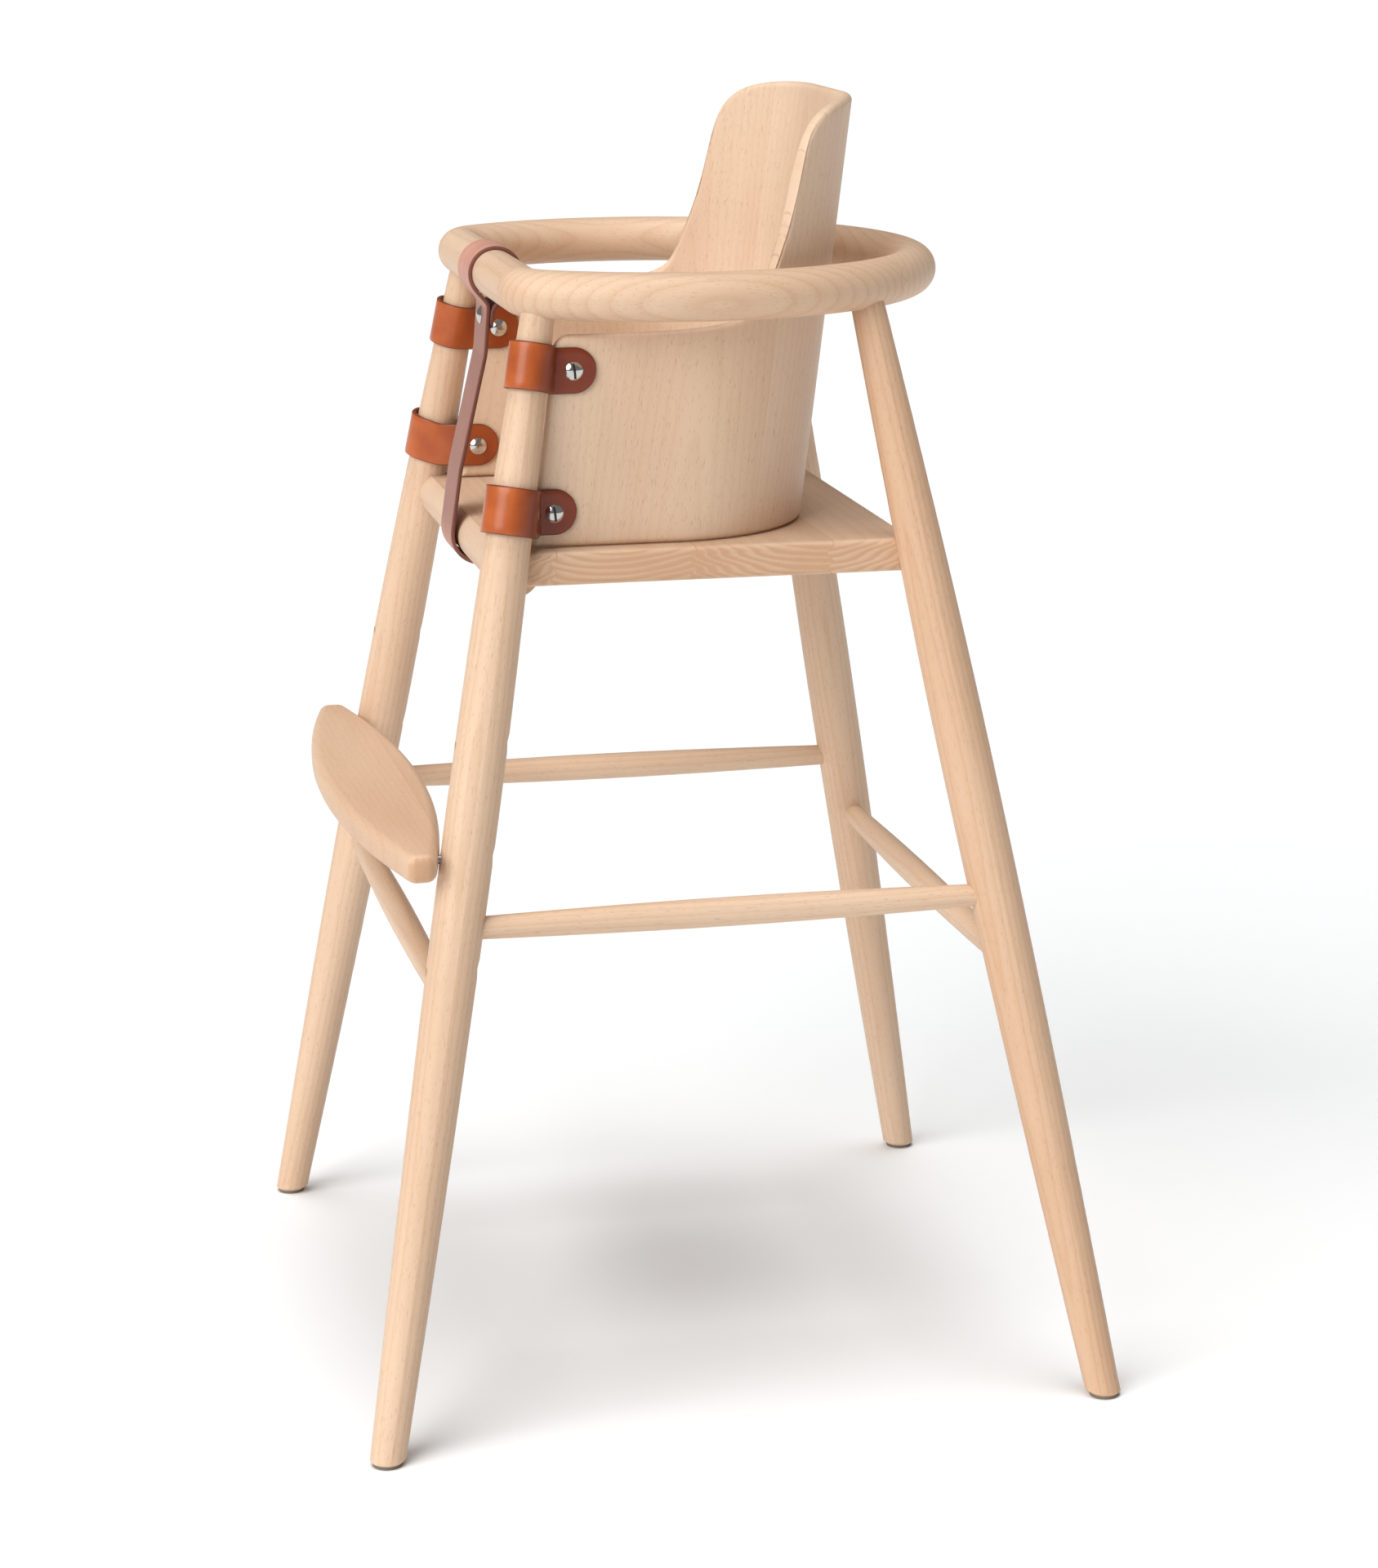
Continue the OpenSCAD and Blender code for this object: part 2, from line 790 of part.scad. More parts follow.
module crotch_strap() {
    n = len(strap_line);
    left = [for (i = [0 : n - 1]) strap_line[i] + strap_mid * side_of(strap_line, i)];
    right = [for (i = [n - 1 : -1 : 0]) strap_line[i] - strap_mid * side_of(strap_line, i)];
    color(mauve_leather) difference() {
        translate([-strap_w / 2, 0, 0]) rotate([90, 0, 90]) linear_extrude(strap_w)
            polygon(concat(left, right));
        at_stud() translate([0, 0, -20]) cylinder(r = post_r + glue_gap, h = 40);
        translate([0, strap_screw_y, under_z - 10]) cylinder(r = screw_r + 0.3, h = 20);
    }
}

// Domed cap in front of the two plies, with a pin
module strap_stud_cap() {
    color(bright_metal) at_stud() {
        translate([0, 0, stud_half]) intersection() {
            cylinder(r = head_r, h = head_h);
            translate([0, 0, head_h - dome_r]) sphere(r = dome_r);
        }
        translate([0, 0, stud_half - 4]) cylinder(r = screw_r, h = 4.5);
    }
}

// Flat flange behind them, with the barrel that the cap's pin enters
module strap_stud_post() {
    color(bright_metal) at_stud() difference() {
        union() {
            translate([0, 0, -stud_half - 1.4]) cylinder(r = flange_r, h = 1.4);
            translate([0, 0, -stud_half - 1]) cylinder(r = post_r, h = 2 * stud_half + 0.9);
        }
        translate([0, 0, -stud_half + 0.5]) cylinder(r = screw_r + 0.2, h = 30);
    }
}

module strap_washer() {
    color(bright_metal) translate([0, strap_screw_y, washer_z]) difference() {
        cylinder(r = washer_r, h = washer_t);
        translate([0, 0, -1]) cylinder(r = screw_r + 0.2, h = 4);
    }
}

// Short round-headed screw, up through the washer and the strap into the seat
module strap_screw() {
    color(bright_metal) translate([0, strap_screw_y, washer_z]) {
        difference() {
            translate([0, 0, -2.2]) cylinder(r = 3.6, h = 2.2);
            rotate([0, 0, 20]) translate([-5, -0.5, -3]) cube([10, 1, 1.8]);
        }
        translate([0, 0, -0.5]) cylinder(r = screw_r, h = 15.5);
    }
}

// ---- Footrest ----

// A disc with a rounded rim, lying flat at the footrest's height
module round_rimmed_disc(y, radius) {
    r = footrest_round_r;
    half_t = footrest_t / 2;
    translate([0, y, footrest_z]) rotate_extrude($fn = 360) {
        translate([0, -half_t]) square([radius - r, footrest_t]);
        translate([0, r - half_t]) square([radius, footrest_t - 2 * r]);
        for (side = [-1, 1])
            translate([radius - r, side * (half_t - r)]) circle(r = r, $fn = 48);
    }
}

// Places each threaded insert's mouth on the footrest's back edge
module at_inserts() {
    for (i = steps) {
        x = bolt_x(footrest_z + i * footrest_step);
        edge_y = footrest_back_y - footrest_back_r + sqrt(pow(footrest_back_r, 2) - pow(x, 2));
        both_sides() translate([x, edge_y - 1, footrest_z]) rotate([90, 0, 0]) children();
    }
}

module footrest() {
    color(beech_dark) difference() {
        intersection() {
            round_rimmed_disc(footrest_front_y + footrest_front_r, footrest_front_r);
            round_rimmed_disc(footrest_back_y - footrest_back_r, footrest_back_r);
            translate([-footrest_half_l, -300, footrest_z - 50]) cube([2 * footrest_half_l, 200, 100]);
        }
        at_inserts() translate([0, 0, -5]) cylinder(r = insert_r + glue_gap, h = 5 + insert_l + 1);
    }
}

module footrest_inserts() {
    color(brass_tone) at_inserts() difference() {
        cylinder(r = insert_r, h = insert_l);
        translate([0, 0, -1]) cylinder(r = bolt_r + bolt_clear, h = insert_l + 2);
    }
}

module bolt_left() {
    z = footrest_z;
    color(dark_metal) translate([bolt_x(z), bolt_y(z) + bolt_seat, z]) rotate([-90, 0, 0]) {
        translate([0, 0, -bolt_l]) cylinder(r = bolt_r, h = bolt_l + 0.5);
        difference() {
            cylinder(r = bolt_head_r, h = bolt_head_h);
            translate([0, 0, bolt_head_h - 3]) cylinder(r = 2.9, h = 4, $fn = 6);
        }
    }
}

module bolt_right() {
    mirror([1, 0, 0]) bolt_left();
}

hoop_front();
hoop_right();
hoop_left();
hoop_back();
leg_front_right();
leg_front_left();
leg_back_right();
leg_back_left();
glide_front_right();
glide_front_left();
glide_back_right();
glide_back_left();
stretcher_right();
stretcher_left();
stretcher_front();
stretcher_back();
seat_rail();
seat_board();
seat_dowels();
rail_pins();
seat_shell();
tab_upper_right();
tab_upper_left();
tab_lower_right();
tab_lower_left();
tab_screws();
tab_posts();
crotch_strap();
strap_stud_cap();
strap_stud_post();
strap_screw();
strap_washer();
footrest();
footrest_inserts();
bolt_right();
bolt_left();
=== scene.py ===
"""Looks for the beech baby high chair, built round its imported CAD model.
Metres, +Z up, the chair faces -Y and +X is its own left."""
import math

import bpy
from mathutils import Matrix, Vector


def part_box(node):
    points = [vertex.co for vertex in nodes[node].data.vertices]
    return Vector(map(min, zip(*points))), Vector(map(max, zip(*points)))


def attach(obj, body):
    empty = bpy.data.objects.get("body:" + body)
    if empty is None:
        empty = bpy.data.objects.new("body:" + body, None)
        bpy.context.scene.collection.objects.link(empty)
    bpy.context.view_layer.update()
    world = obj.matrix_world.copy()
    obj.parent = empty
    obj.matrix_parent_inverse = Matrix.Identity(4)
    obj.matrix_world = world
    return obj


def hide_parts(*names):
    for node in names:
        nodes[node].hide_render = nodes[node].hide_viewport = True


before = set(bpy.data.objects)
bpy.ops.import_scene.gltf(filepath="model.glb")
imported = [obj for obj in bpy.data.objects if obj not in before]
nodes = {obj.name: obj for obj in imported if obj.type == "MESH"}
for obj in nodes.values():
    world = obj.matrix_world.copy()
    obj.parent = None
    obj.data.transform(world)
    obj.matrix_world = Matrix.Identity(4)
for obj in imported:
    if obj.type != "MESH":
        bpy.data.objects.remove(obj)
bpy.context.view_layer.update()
scene = bpy.context.scene

# ---- Sizes that the frame gives ----

bar_low, bar_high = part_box("hoop_front")
HOOP_TUBE_R = (bar_high.z - bar_low.z) / 2
HOOP_Z = (bar_high.z + bar_low.z) / 2
HOOP_FRONT_Y = (bar_high.y + bar_low.y) / 2
HOOP_CORNER_X = bar_high.x
HOOP_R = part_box("hoop_left")[1].x - HOOP_TUBE_R
HOOP_CENTRE_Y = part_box("hoop_back")[1].y - HOOP_TUBE_R - HOOP_R
HOOP_JOINT_ANGLE = math.radians(47)

board_low, board_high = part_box("seat_board")
SEAT_Z = board_high.z
SEAT_T = board_high.z - board_low.z

LEG_TOP = {"front": Vector((0.141, -0.118)), "back": Vector((0.139, 0.104))}
LEG_BELLY_R, LEG_TOP_R, LEG_BELLY_Z = 0.0178, 0.011, 0.43

LEATHER_T = 0.0028
LEATHER_ROUND_R = 0.0009
LEAST_HALF_W = 0.0006
# Smoothing passes for where the leather's painted shade begins and ends
PAINTED_SHADE_PASSES = 60
TAB_W = 0.031
TAB_GAP = 0.0006
TAB_OUTER_BEND, TAB_INNER_BEND = 0.0015, -0.003
TAB_STEP, TAB_ROUNDING_PASSES, TAB_PULL_PASSES = 0.0007, 14, 90
# Painted shade on the tabs: its share inside the shell, where it begins and how far it grows towards the
# back of the leg
TAB_INNER_SHADE, TAB_SHADE_LEAD, TAB_SHADE_RUN = 0.5, 0.003, 0.015
BAND_LIFT = {"upper": 0.003, "lower": 0.004}
STRAP_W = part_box("crotch_strap")[1].x * 2
STRAP_JOIN = Vector((-0.1323, 0.7465))
STRAP_KNEE = Vector((-0.135, 0.712))
STRAP_BELLY = Vector((-0.1538, 0.631))
STRAP_GAP, STRAP_CORNER_R = 0.0003, 0.006
STRAP_SPLIT, STRAP_TAIL, STRAP_PLY_GAP = 0.003, 0.014, 0.0002
STRAP_STEP, STRAP_ROUNDING_PASSES = 0.0012, 8
WRAP_CENTRE, WRAP_R, WRAP_END = Vector((-0.1402, SEAT_Z - 0.0127)), 0.02, math.radians(300)
UNDER_START_Y, UNDER_END_Y = -0.116, -0.096

shell_low, shell_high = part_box("seat_shell")
SHELL_T = 0.009
SHELL_HALF_W = shell_high.x
SHELL_Z = shell_low.z
SHELL_TOP_Z = shell_high.z
SHELL_SIDE_Z = 0.741
SHELL_BACK_Y = 0.083
SHELL_BEND_R = 0.113
SHELL_LEAN = math.radians(6.9)
SHELL_FRONT_Y = -0.127
SHELL_FRONT_SLOPE = 0.122
SHELL_CORNER_R = 0.012
SHELL_RIM_HALF = 0.0004
SHELL_LAYERS = 3.5
RISE_START, RISE_MIDDLE = Vector((-0.081, SHELL_SIDE_Z)), Vector((0.04, SHELL_SIDE_Z + 0.036))
RISE_TOP, CROWN_END = Vector((0.132, SHELL_TOP_Z)), Vector((0.15, SHELL_TOP_Z))
RISE_ANGLE = math.radians(66.6)
RISE_START_HANDLE, RISE_LOWER_HANDLE, RISE_UPPER_HANDLE = 0.117, 0.0315, 0.088

rest_low, rest_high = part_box("footrest")
FOOTREST_HALF_L = rest_high.x
FOOTREST_T = rest_high.z - rest_low.z
FOOTREST_Z = (rest_high.z + rest_low.z) / 2
FOOTREST_DEPTH, FOOTREST_STEP = 0.0716, 0.074
FOOTREST_FRONT_SAGITTA, FOOTREST_BACK_SAGITTA = 0.028, 0.025
FOOTREST_CORNER_R, FOOTREST_EDGE_R = 0.008, 0.007
INSERT_BORE_R, INSERT_BORE_DEPTH, INSERT_BORE_LEAD = 0.00405, 0.015, 0.005
SHARP_ANGLE = math.radians(40)

# A screw's slot, as heights above the underside of its head
SLOT_FLOOR_UNDER, SLOT_WALL_ABOVE = 0.0024, 0.0007

# ---- Colours ----

PALE = (0.735, 0.545, 0.39, 1)
WARM = (0.57, 0.335, 0.195, 1)
FLECK = (0.34, 0.18, 0.1, 1)
# Leather: lit colour (a painted highlight on the strap's bends), clouds, cut edges, and painted shade
TAN = ((0.5, 0.12, 0.027, 1), (0.36, 0.07, 0.014, 1), (0.1, 0.02, 0.008, 1), (0.14, 0.016, 0.004, 1))
MAUVE = ((0.62, 0.31, 0.225, 1), (0.5, 0.22, 0.16, 1), (0.13, 0.04, 0.028, 1), (0.27, 0.108, 0.076, 1))
NICKEL = (0.62, 0.61, 0.59, 1)
STEEL = (0.3, 0.3, 0.31, 1)
BRASS = (0.72, 0.52, 0.24, 1)
# Painted shade, near black, for the screws' slots
SLOT_SHADE = (0.035, 0.03, 0.027, 1)
GLIDE_BROWN = (0.15, 0.125, 0.1, 1)
FLOOR_WHITE = (0.935, 0.945, 0.95, 1)


def leg_axis(end, side):
    """Foot of a leg's centre line, and how far it moves across for each metre up."""
    low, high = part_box(f"glide_{end}_{side}")
    foot = Vector(((low.x + high.x) / 2, (low.y + high.y) / 2, 0))
    top = LEG_TOP[end].copy()
    if side == "right":
        top.x = -top.x
    slope = (top - foot.xy) / HOOP_Z
    return foot, Vector((slope.x, slope.y, 1))


def leg_radius(z):
    """Radius of the upper half of a leg."""
    share = (z - LEG_BELLY_Z) / (HOOP_Z - LEG_BELLY_Z)
    return LEG_TOP_R + (LEG_BELLY_R - LEG_TOP_R) * math.cos(math.pi / 2 * share)


# ---- Material graphs ----

class Graph:
    """A short way to write a material's node tree."""

    def __init__(self, name, **shader_values):
        self.material = bpy.data.materials.new(name)
        self.material.use_nodes = True
        self.tree = self.material.node_tree
        self.shader = self.tree.nodes["Principled BSDF"]
        for key, value in shader_values.items():
            socket = key.replace("_", " ").title().replace("Ior", "IOR")
            self.shader.inputs[socket].default_value = value

    def put(self, socket, value):
        if isinstance(value, bpy.types.NodeSocket):
            self.tree.links.new(value, socket)
        else:
            socket.default_value = value

    def add(self, kind, inputs, output=0, **settings):
        node = self.tree.nodes.new("ShaderNode" + kind)
        for key, value in settings.items():
            setattr(node, key, value)
        for key, value in inputs.items():
            self.put(node.inputs[key], value)
        return node.outputs[output]

    def math(self, operation, *values, clamp=False):
        return self.add("Math", dict(enumerate(values)), operation=operation, use_clamp=clamp)

    def vector(self, operation, *values):
        output = 1 if operation in ("DOT_PRODUCT", "LENGTH") else 0
        return self.add("VectorMath", dict(enumerate(values)), output, operation=operation)

    def position(self):
        return self.add("TexCoord", {}, "Object")

    def attribute(self, name, output="Vector"):
        return self.add("Attribute", {}, output, attribute_name=name)

    def split(self, vector):
        node = self.tree.nodes.new("ShaderNodeSeparateXYZ")
        self.put(node.inputs[0], vector)
        return node.outputs[0], node.outputs[1], node.outputs[2]

    def join(self, x, y, z):
        return self.add("CombineXYZ", {0: x, 1: y, 2: z})

    def noise(self, vector, scale=(1, 1, 1), detail=2.0, rough=0.5):
        stretched = self.vector("MULTIPLY", vector, scale)
        inputs = {"Vector": stretched, "Scale": 1.0, "Detail": detail, "Roughness": rough}
        return self.add("TexNoise", inputs, "Fac")

    def fit(self, value, low, high, to_low=0.0, to_high=1.0, smooth=False):
        kind = "SMOOTHSTEP" if smooth else "LINEAR"
        inputs = {0: value, 1: low, 2: high, 3: to_low, 4: to_high}
        return self.add("MapRange", inputs, interpolation_type=kind)

    def curve(self, value, stops):
        """A grey ramp through (place, height) stops."""
        node = self.tree.nodes.new("ShaderNodeValToRGB")
        self.put(node.inputs[0], value)
        elements = node.color_ramp.elements
        while len(elements) < len(stops):
            elements.new(0.5)
        for element, (place, height) in zip(elements, stops):
            element.position = place
            element.color = (height, height, height, 1)
        return node.outputs[0]

    def mix(self, factor, a, b, blend="MIX"):
        """A colour mix."""
        return self.add("Mix", {0: factor, 6: a, 7: b}, 2, data_type="RGBA", blend_type=blend)

    def pick(self, factor, a, b):
        """A vector mix."""
        return self.add("Mix", {0: factor, 4: a, 5: b}, 1, data_type="VECTOR")

    def colour(self, value):
        self.put(self.shader.inputs["Base Color"], value)

    def rough(self, value):
        self.put(self.shader.inputs["Roughness"], value)

    def bump(self, height, depth, strength):
        inputs = {"Strength": strength, "Distance": depth, "Height": height}
        self.put(self.shader.inputs["Normal"], self.add("Bump", inputs))


# ---- Wood ----

def along_grain(g, origin, axis, pith, position=None):
    """Coordinates across the grain, measured from the pith, and along it."""
    along = Vector(axis).normalized()
    side = along.cross(Vector((0.31, 0.87, 0.4))).normalized()
    other = along.cross(side)
    local = g.vector("SUBTRACT", position or g.position(), tuple(origin))
    parts = [g.vector("DOT_PRODUCT", local, tuple(d)) for d in (side, other, along)]
    return g.vector("ADD", g.join(*parts), (pith[0], pith[1], 0))


def finish_wood(g, grain, ring_pitch=0.0045, ring_depth=0.3, tone=0.0, shade=None):
    """Oiled beech: slow changes of tone, growth rings, short dark ray flecks and fine fibres.
    ring_depth may be a socket, and shade an extra darkening from 0 to 1."""
    slow = g.noise(grain, (16, 16, 3.5), 3)
    warp = g.fit(g.noise(grain, (11, 11, 3.2), 2), 0, 1, -0.006, 0.006)
    ring = g.math("ADD", g.vector("LENGTH", g.vector("MULTIPLY", grain, (1, 1, 0))), warp)
    phase = g.math("FRACT", g.math("DIVIDE", ring, ring_pitch))
    late = g.curve(phase, [(0.0, 0.3), (0.25, 0.0), (0.7, 0.35), (0.93, 1.0), (1.0, 0.3)])
    fibre = g.noise(grain, (1500, 1500, 50), 2, 0.6)
    speck = g.fit(g.noise(grain, (1500, 1500, 210), 0), 0.68, 0.78)
    dark = g.math("ADD", g.fit(slow, 0.3, 0.7, 0.05 + tone, 0.45 + tone),
                  g.math("MULTIPLY", late, ring_depth))
    if shade is not None:
        dark = g.math("ADD", dark, shade)
    base = g.mix(g.math("MINIMUM", dark, 1.0), PALE, WARM)
    base = g.mix(g.math("MULTIPLY", speck, 0.3), base, FLECK)
    base = g.mix(g.fit(fibre, 0.2, 0.8, 0.1, 0.0), base, WARM)
    g.colour(base)
    g.rough(g.fit(fibre, 0.2, 0.8, 0.56, 0.44))
    height = g.math("SUBTRACT", g.math("MULTIPLY", fibre, 0.5), speck)
    g.bump(g.math("SUBTRACT", height, g.math("MULTIPLY", late, 0.25)), 0.00012, 0.6)
    return g.material


def straight_wood(name, origin, axis, pith, **options):
    g = Graph(name, ior=1.46)
    return finish_wood(g, along_grain(g, origin, axis, pith), **options)


def end_grain_amount(g, axis):
    """1 where the surface is cut square across the grain, 0 along it."""
    normal = g.add("NewGeometry", {}, "True Normal")
    facing = g.math("ABSOLUTE", g.vector("DOT_PRODUCT", normal, axis))
    return g.fit(facing, 0.55, 0.98, smooth=True)


def zigzag(g, value, pitch, depth):
    """A triangle wave of that pitch and height, for finger joints."""
    phase = g.math("FRACT", g.math("DIVIDE", value, pitch))
    tent = g.math("ABSOLUTE", g.math("SUBTRACT", phase, 0.5))
    return g.math("MULTIPLY", g.math("SUBTRACT", tent, 0.25), depth * 4)


def hoop_wood():
    """Side pieces with their grain from front to back, front and rear ones with it from left to
    right, and a finger joint where they meet."""
    finger_pitch, finger_depth, front_depth = 0.0085, 0.0034, 0.02
    seam_half, seam_fade, seam_dark, cut_dark = 0.0003, 0.0006, 0.7, 0.2
    g = Graph("beech_hoop", ior=1.46)
    place = g.position()
    x, y, z = g.split(place)
    away = g.math("ABSOLUTE", x)
    angle = g.math("ARCTAN2", g.math("SUBTRACT", y, HOOP_CENTRE_Y), away)
    run = g.math("MULTIPLY", g.math("SUBTRACT", angle, HOOP_JOINT_ANGLE), HOOP_R)
    fingers = zigzag(g, z, finger_pitch, finger_depth)
    past_back = g.math("ADD", run, fingers)
    past_front = g.math("ADD", g.math("SUBTRACT", HOOP_CORNER_X, away), fingers)
    in_front = g.math("LESS_THAN", y, HOOP_FRONT_Y + front_depth)
    front_side = g.math("MULTIPLY", g.math("GREATER_THAN", past_front, 0), in_front)
    cross = g.math("MAXIMUM", g.math("GREATER_THAN", past_back, 0), front_side)
    side_grain = along_grain(g, (0, HOOP_CENTRE_Y, HOOP_Z), (0, 1, 0), (0.02, 0.03), place)
    cross_grain = along_grain(g, (0, 0, HOOP_Z + 0.01), (1, 0, 0), (0.01, -0.05), place)
    seam_back, seam_front = (
        g.fit(g.math("ABSOLUTE", past), seam_half, seam_fade, 1, 0) for past in (past_back, past_front)
    )
    seam = g.math("MAXIMUM", seam_back, g.math("MULTIPLY", seam_front, in_front))
    cut = g.math("ADD", g.math("MULTIPLY", end_grain_amount(g, (1, 0, 0)), cross),
                 g.math("MULTIPLY", end_grain_amount(g, (0, 1, 0)), g.math("SUBTRACT", 1.0, cross)))
    shade = g.math("ADD", g.math("MULTIPLY", seam, seam_dark), g.math("MULTIPLY", cut, cut_dark))
    grain = g.pick(cross, side_grain, cross_grain)
    return finish_wood(g, grain, ring_pitch=0.0062, ring_depth=0.34, tone=0.03, shade=shade)


def board_wood():
    """Planks glued side by side with tongued joints. Their grain runs from left to right, so the
    board's sides show the growth rings as arcs."""
    plank, first, tongue_depth, seam_wide = 0.0955, -0.113, 0.0045, 0.0042
    seam_dark, cut_dark, tone_swing, centre_swing = 0.9, 0.3, 0.07, 0.055
    g = Graph("beech_seat_board", ior=1.46)
    place = g.position()
    x, y, z = g.split(place)
    tongue = g.curve(g.fit(z, SEAT_Z - SEAT_T, SEAT_Z),
                     [(0.0, 0.0), (0.2, 1.0), (0.4, 0.0), (0.62, 1.0), (0.72, 1.0), (0.85, 0.0)])
    shifted = g.math("ADD", g.math("SUBTRACT", y, first), g.math("MULTIPLY", tongue, tongue_depth))
    count = g.math("DIVIDE", shifted, plank)
    index = g.math("FLOOR", count)
    within = g.math("SUBTRACT", count, index)
    seam = g.math("MAXIMUM", g.math("LESS_THAN", within, seam_wide),
                  g.math("GREATER_THAN", within, 1 - seam_wide))
    sway = g.math("SINE", g.math("MULTIPLY", index, 2.3))
    centre = g.math("MULTIPLY", sway, centre_swing)
    depth = g.fit(g.math("COSINE", g.math("MULTIPLY", index, 1.7)), -1, 1, 0.085, 0.14)
    across = g.math("SUBTRACT", g.math("MULTIPLY", g.math("SUBTRACT", within, 0.5), plank), centre)
    up = g.math("SUBTRACT", g.math("SUBTRACT", z, SEAT_Z), depth)
    grain = g.join(across, up, g.math("ADD", x, g.math("MULTIPLY", index, 0.37)))
    cut = end_grain_amount(g, (1, 0, 0))
    rings = g.fit(cut, 0, 1, 0.22, 1.2)
    own_tone = g.math("MULTIPLY", sway, tone_swing)
    shade = g.math("ADD", g.math("ADD", g.math("MULTIPLY", cut, cut_dark), own_tone),
                   g.math("MULTIPLY", seam, seam_dark))
    return finish_wood(g, grain, ring_pitch=0.0046, ring_depth=rings, shade=shade)


def footrest_wood():
    """Two planks with a glue line near the back edge. The grain runs from left to right."""
    glue_y, glue_half, glue_fade = -0.197, 0.0001, 0.0004
    glue_dark, behind_dark, cut_dark = 0.4, 0.09, 0.5
    g = Graph("beech_footrest", ior=1.46)
    place = g.position()
    x, y, z = g.split(place)
    behind = g.math("GREATER_THAN", y, glue_y)
    front = along_grain(g, (0, -0.21, 0.4), (1, 0.02, 0), (0.015, 0.04), place)
    back = along_grain(g, (0.3, -0.16, 0.4), (1, -0.03, 0), (0.06, -0.02), place)
    glue = g.fit(g.math("ABSOLUTE", g.math("SUBTRACT", y, glue_y)), glue_half, glue_fade, 1, 0)
    cut = end_grain_amount(g, (1, 0, 0))
    shade = g.math("ADD", g.math("MULTIPLY", glue, glue_dark), g.math("MULTIPLY", behind, behind_dark))
    shade = g.math("ADD", shade, g.math("MULTIPLY", cut, cut_dark))
    rings = g.fit(cut, 0, 1, 0.13, 0.8)
    return finish_wood(g, g.pick(behind, front, back), ring_pitch=0.005, ring_depth=rings, tone=0.14,
                       shade=shade)


def shell_wood():
    """Bent plywood: sliced veneer with upright grain on the faces, layers on the edges."""
    g = Graph("beech_plywood", ior=1.46)
    run, depth, up = g.split(g.attribute("veneer"))
    strip, first, seam_share, skin = 0.118, -0.56, 0.0045, 0.0002
    seam_dark, layer_dark, tone_swing = 0.12, 0.07, 0.03
    count = g.math("DIVIDE", g.math("SUBTRACT", run, first), strip)
    index = g.math("FLOOR", count)
    within = g.math("SUBTRACT", count, index)
    across = g.math("MULTIPLY", g.math("SUBTRACT", within, 0.45), strip)
    seam = g.math("LESS_THAN", within, seam_share)
    sway = g.math("SINE", g.math("MULTIPLY", index, 2.1))
    cone = g.math("MULTIPLY", g.math("SUBTRACT", up, 0.5), 0.05)
    grain = g.join(across, g.math("ADD", cone, 0.012), g.math("ADD", up, g.math("MULTIPLY", index, 0.4)))
    layer = g.math("FRACT", g.math("DIVIDE", g.math("ADD", depth, SHELL_T / 2), SHELL_T / SHELL_LAYERS))
    on_edge = g.math("LESS_THAN", g.math("ABSOLUTE", depth), SHELL_T / 2 - skin)
    dark_layer = g.math("MULTIPLY", g.math("GREATER_THAN", layer, 0.5), on_edge)
    seam = g.math("MULTIPLY", seam, g.math("SUBTRACT", 1.0, on_edge))
    shade = g.math("ADD", g.math("MULTIPLY", seam, seam_dark), g.math("MULTIPLY", dark_layer, layer_dark))
    shade = g.math("ADD", shade, g.math("MULTIPLY", sway, tone_swing))
    return finish_wood(g, grain, ring_pitch=0.0052, ring_depth=0.17, tone=-0.1, shade=shade)


# ---- Leather, metal and plastic ----

def leather(name, colours, rough, grain_depth, sheen=0.0, coat=0.0):
    """Dyed leather: cloudy tone, fine pores, darker finished edges, and painted shade, a flat darker
    colour wherever the piece marks it; the lighter colour left elsewhere is, on the strap's bends, a
    painted highlight."""
    light, dark, edge, flat = colours
    g = Graph(name, ior=1.45, specular_ior_level=0.4, sheen_weight=sheen, coat_weight=coat,
              coat_roughness=0.22)
    place = g.position()
    cloud = g.noise(place, (45, 45, 45), 3)
    fine = g.noise(place, (900, 900, 900), 3, 0.65)
    pores = g.add("TexVoronoi", {"Vector": place, "Scale": 1500.0}, "Distance")
    base = g.mix(g.fit(cloud, 0.3, 0.7), light, dark)
    base = g.mix(g.fit(fine, 0.35, 0.75, 0, 0.25), base, dark)
    # Painted shade: the flat darker colour where the piece marks it
    base = g.mix(g.math("MULTIPLY", g.attribute("painted_shade", "Fac"), 0.85), base, flat)
    rim = g.attribute("rim", "Fac")
    g.colour(g.mix(g.math("MULTIPLY", rim, 0.85), base, edge))
    g.rough(g.math("ADD", g.fit(fine, 0.2, 0.8, rough - 0.06, rough + 0.08),
                   g.math("MULTIPLY", rim, 0.12)))
    g.bump(g.math("ADD", pores, g.math("MULTIPLY", fine, 0.8)), grain_depth, 0.5)
    return g.material


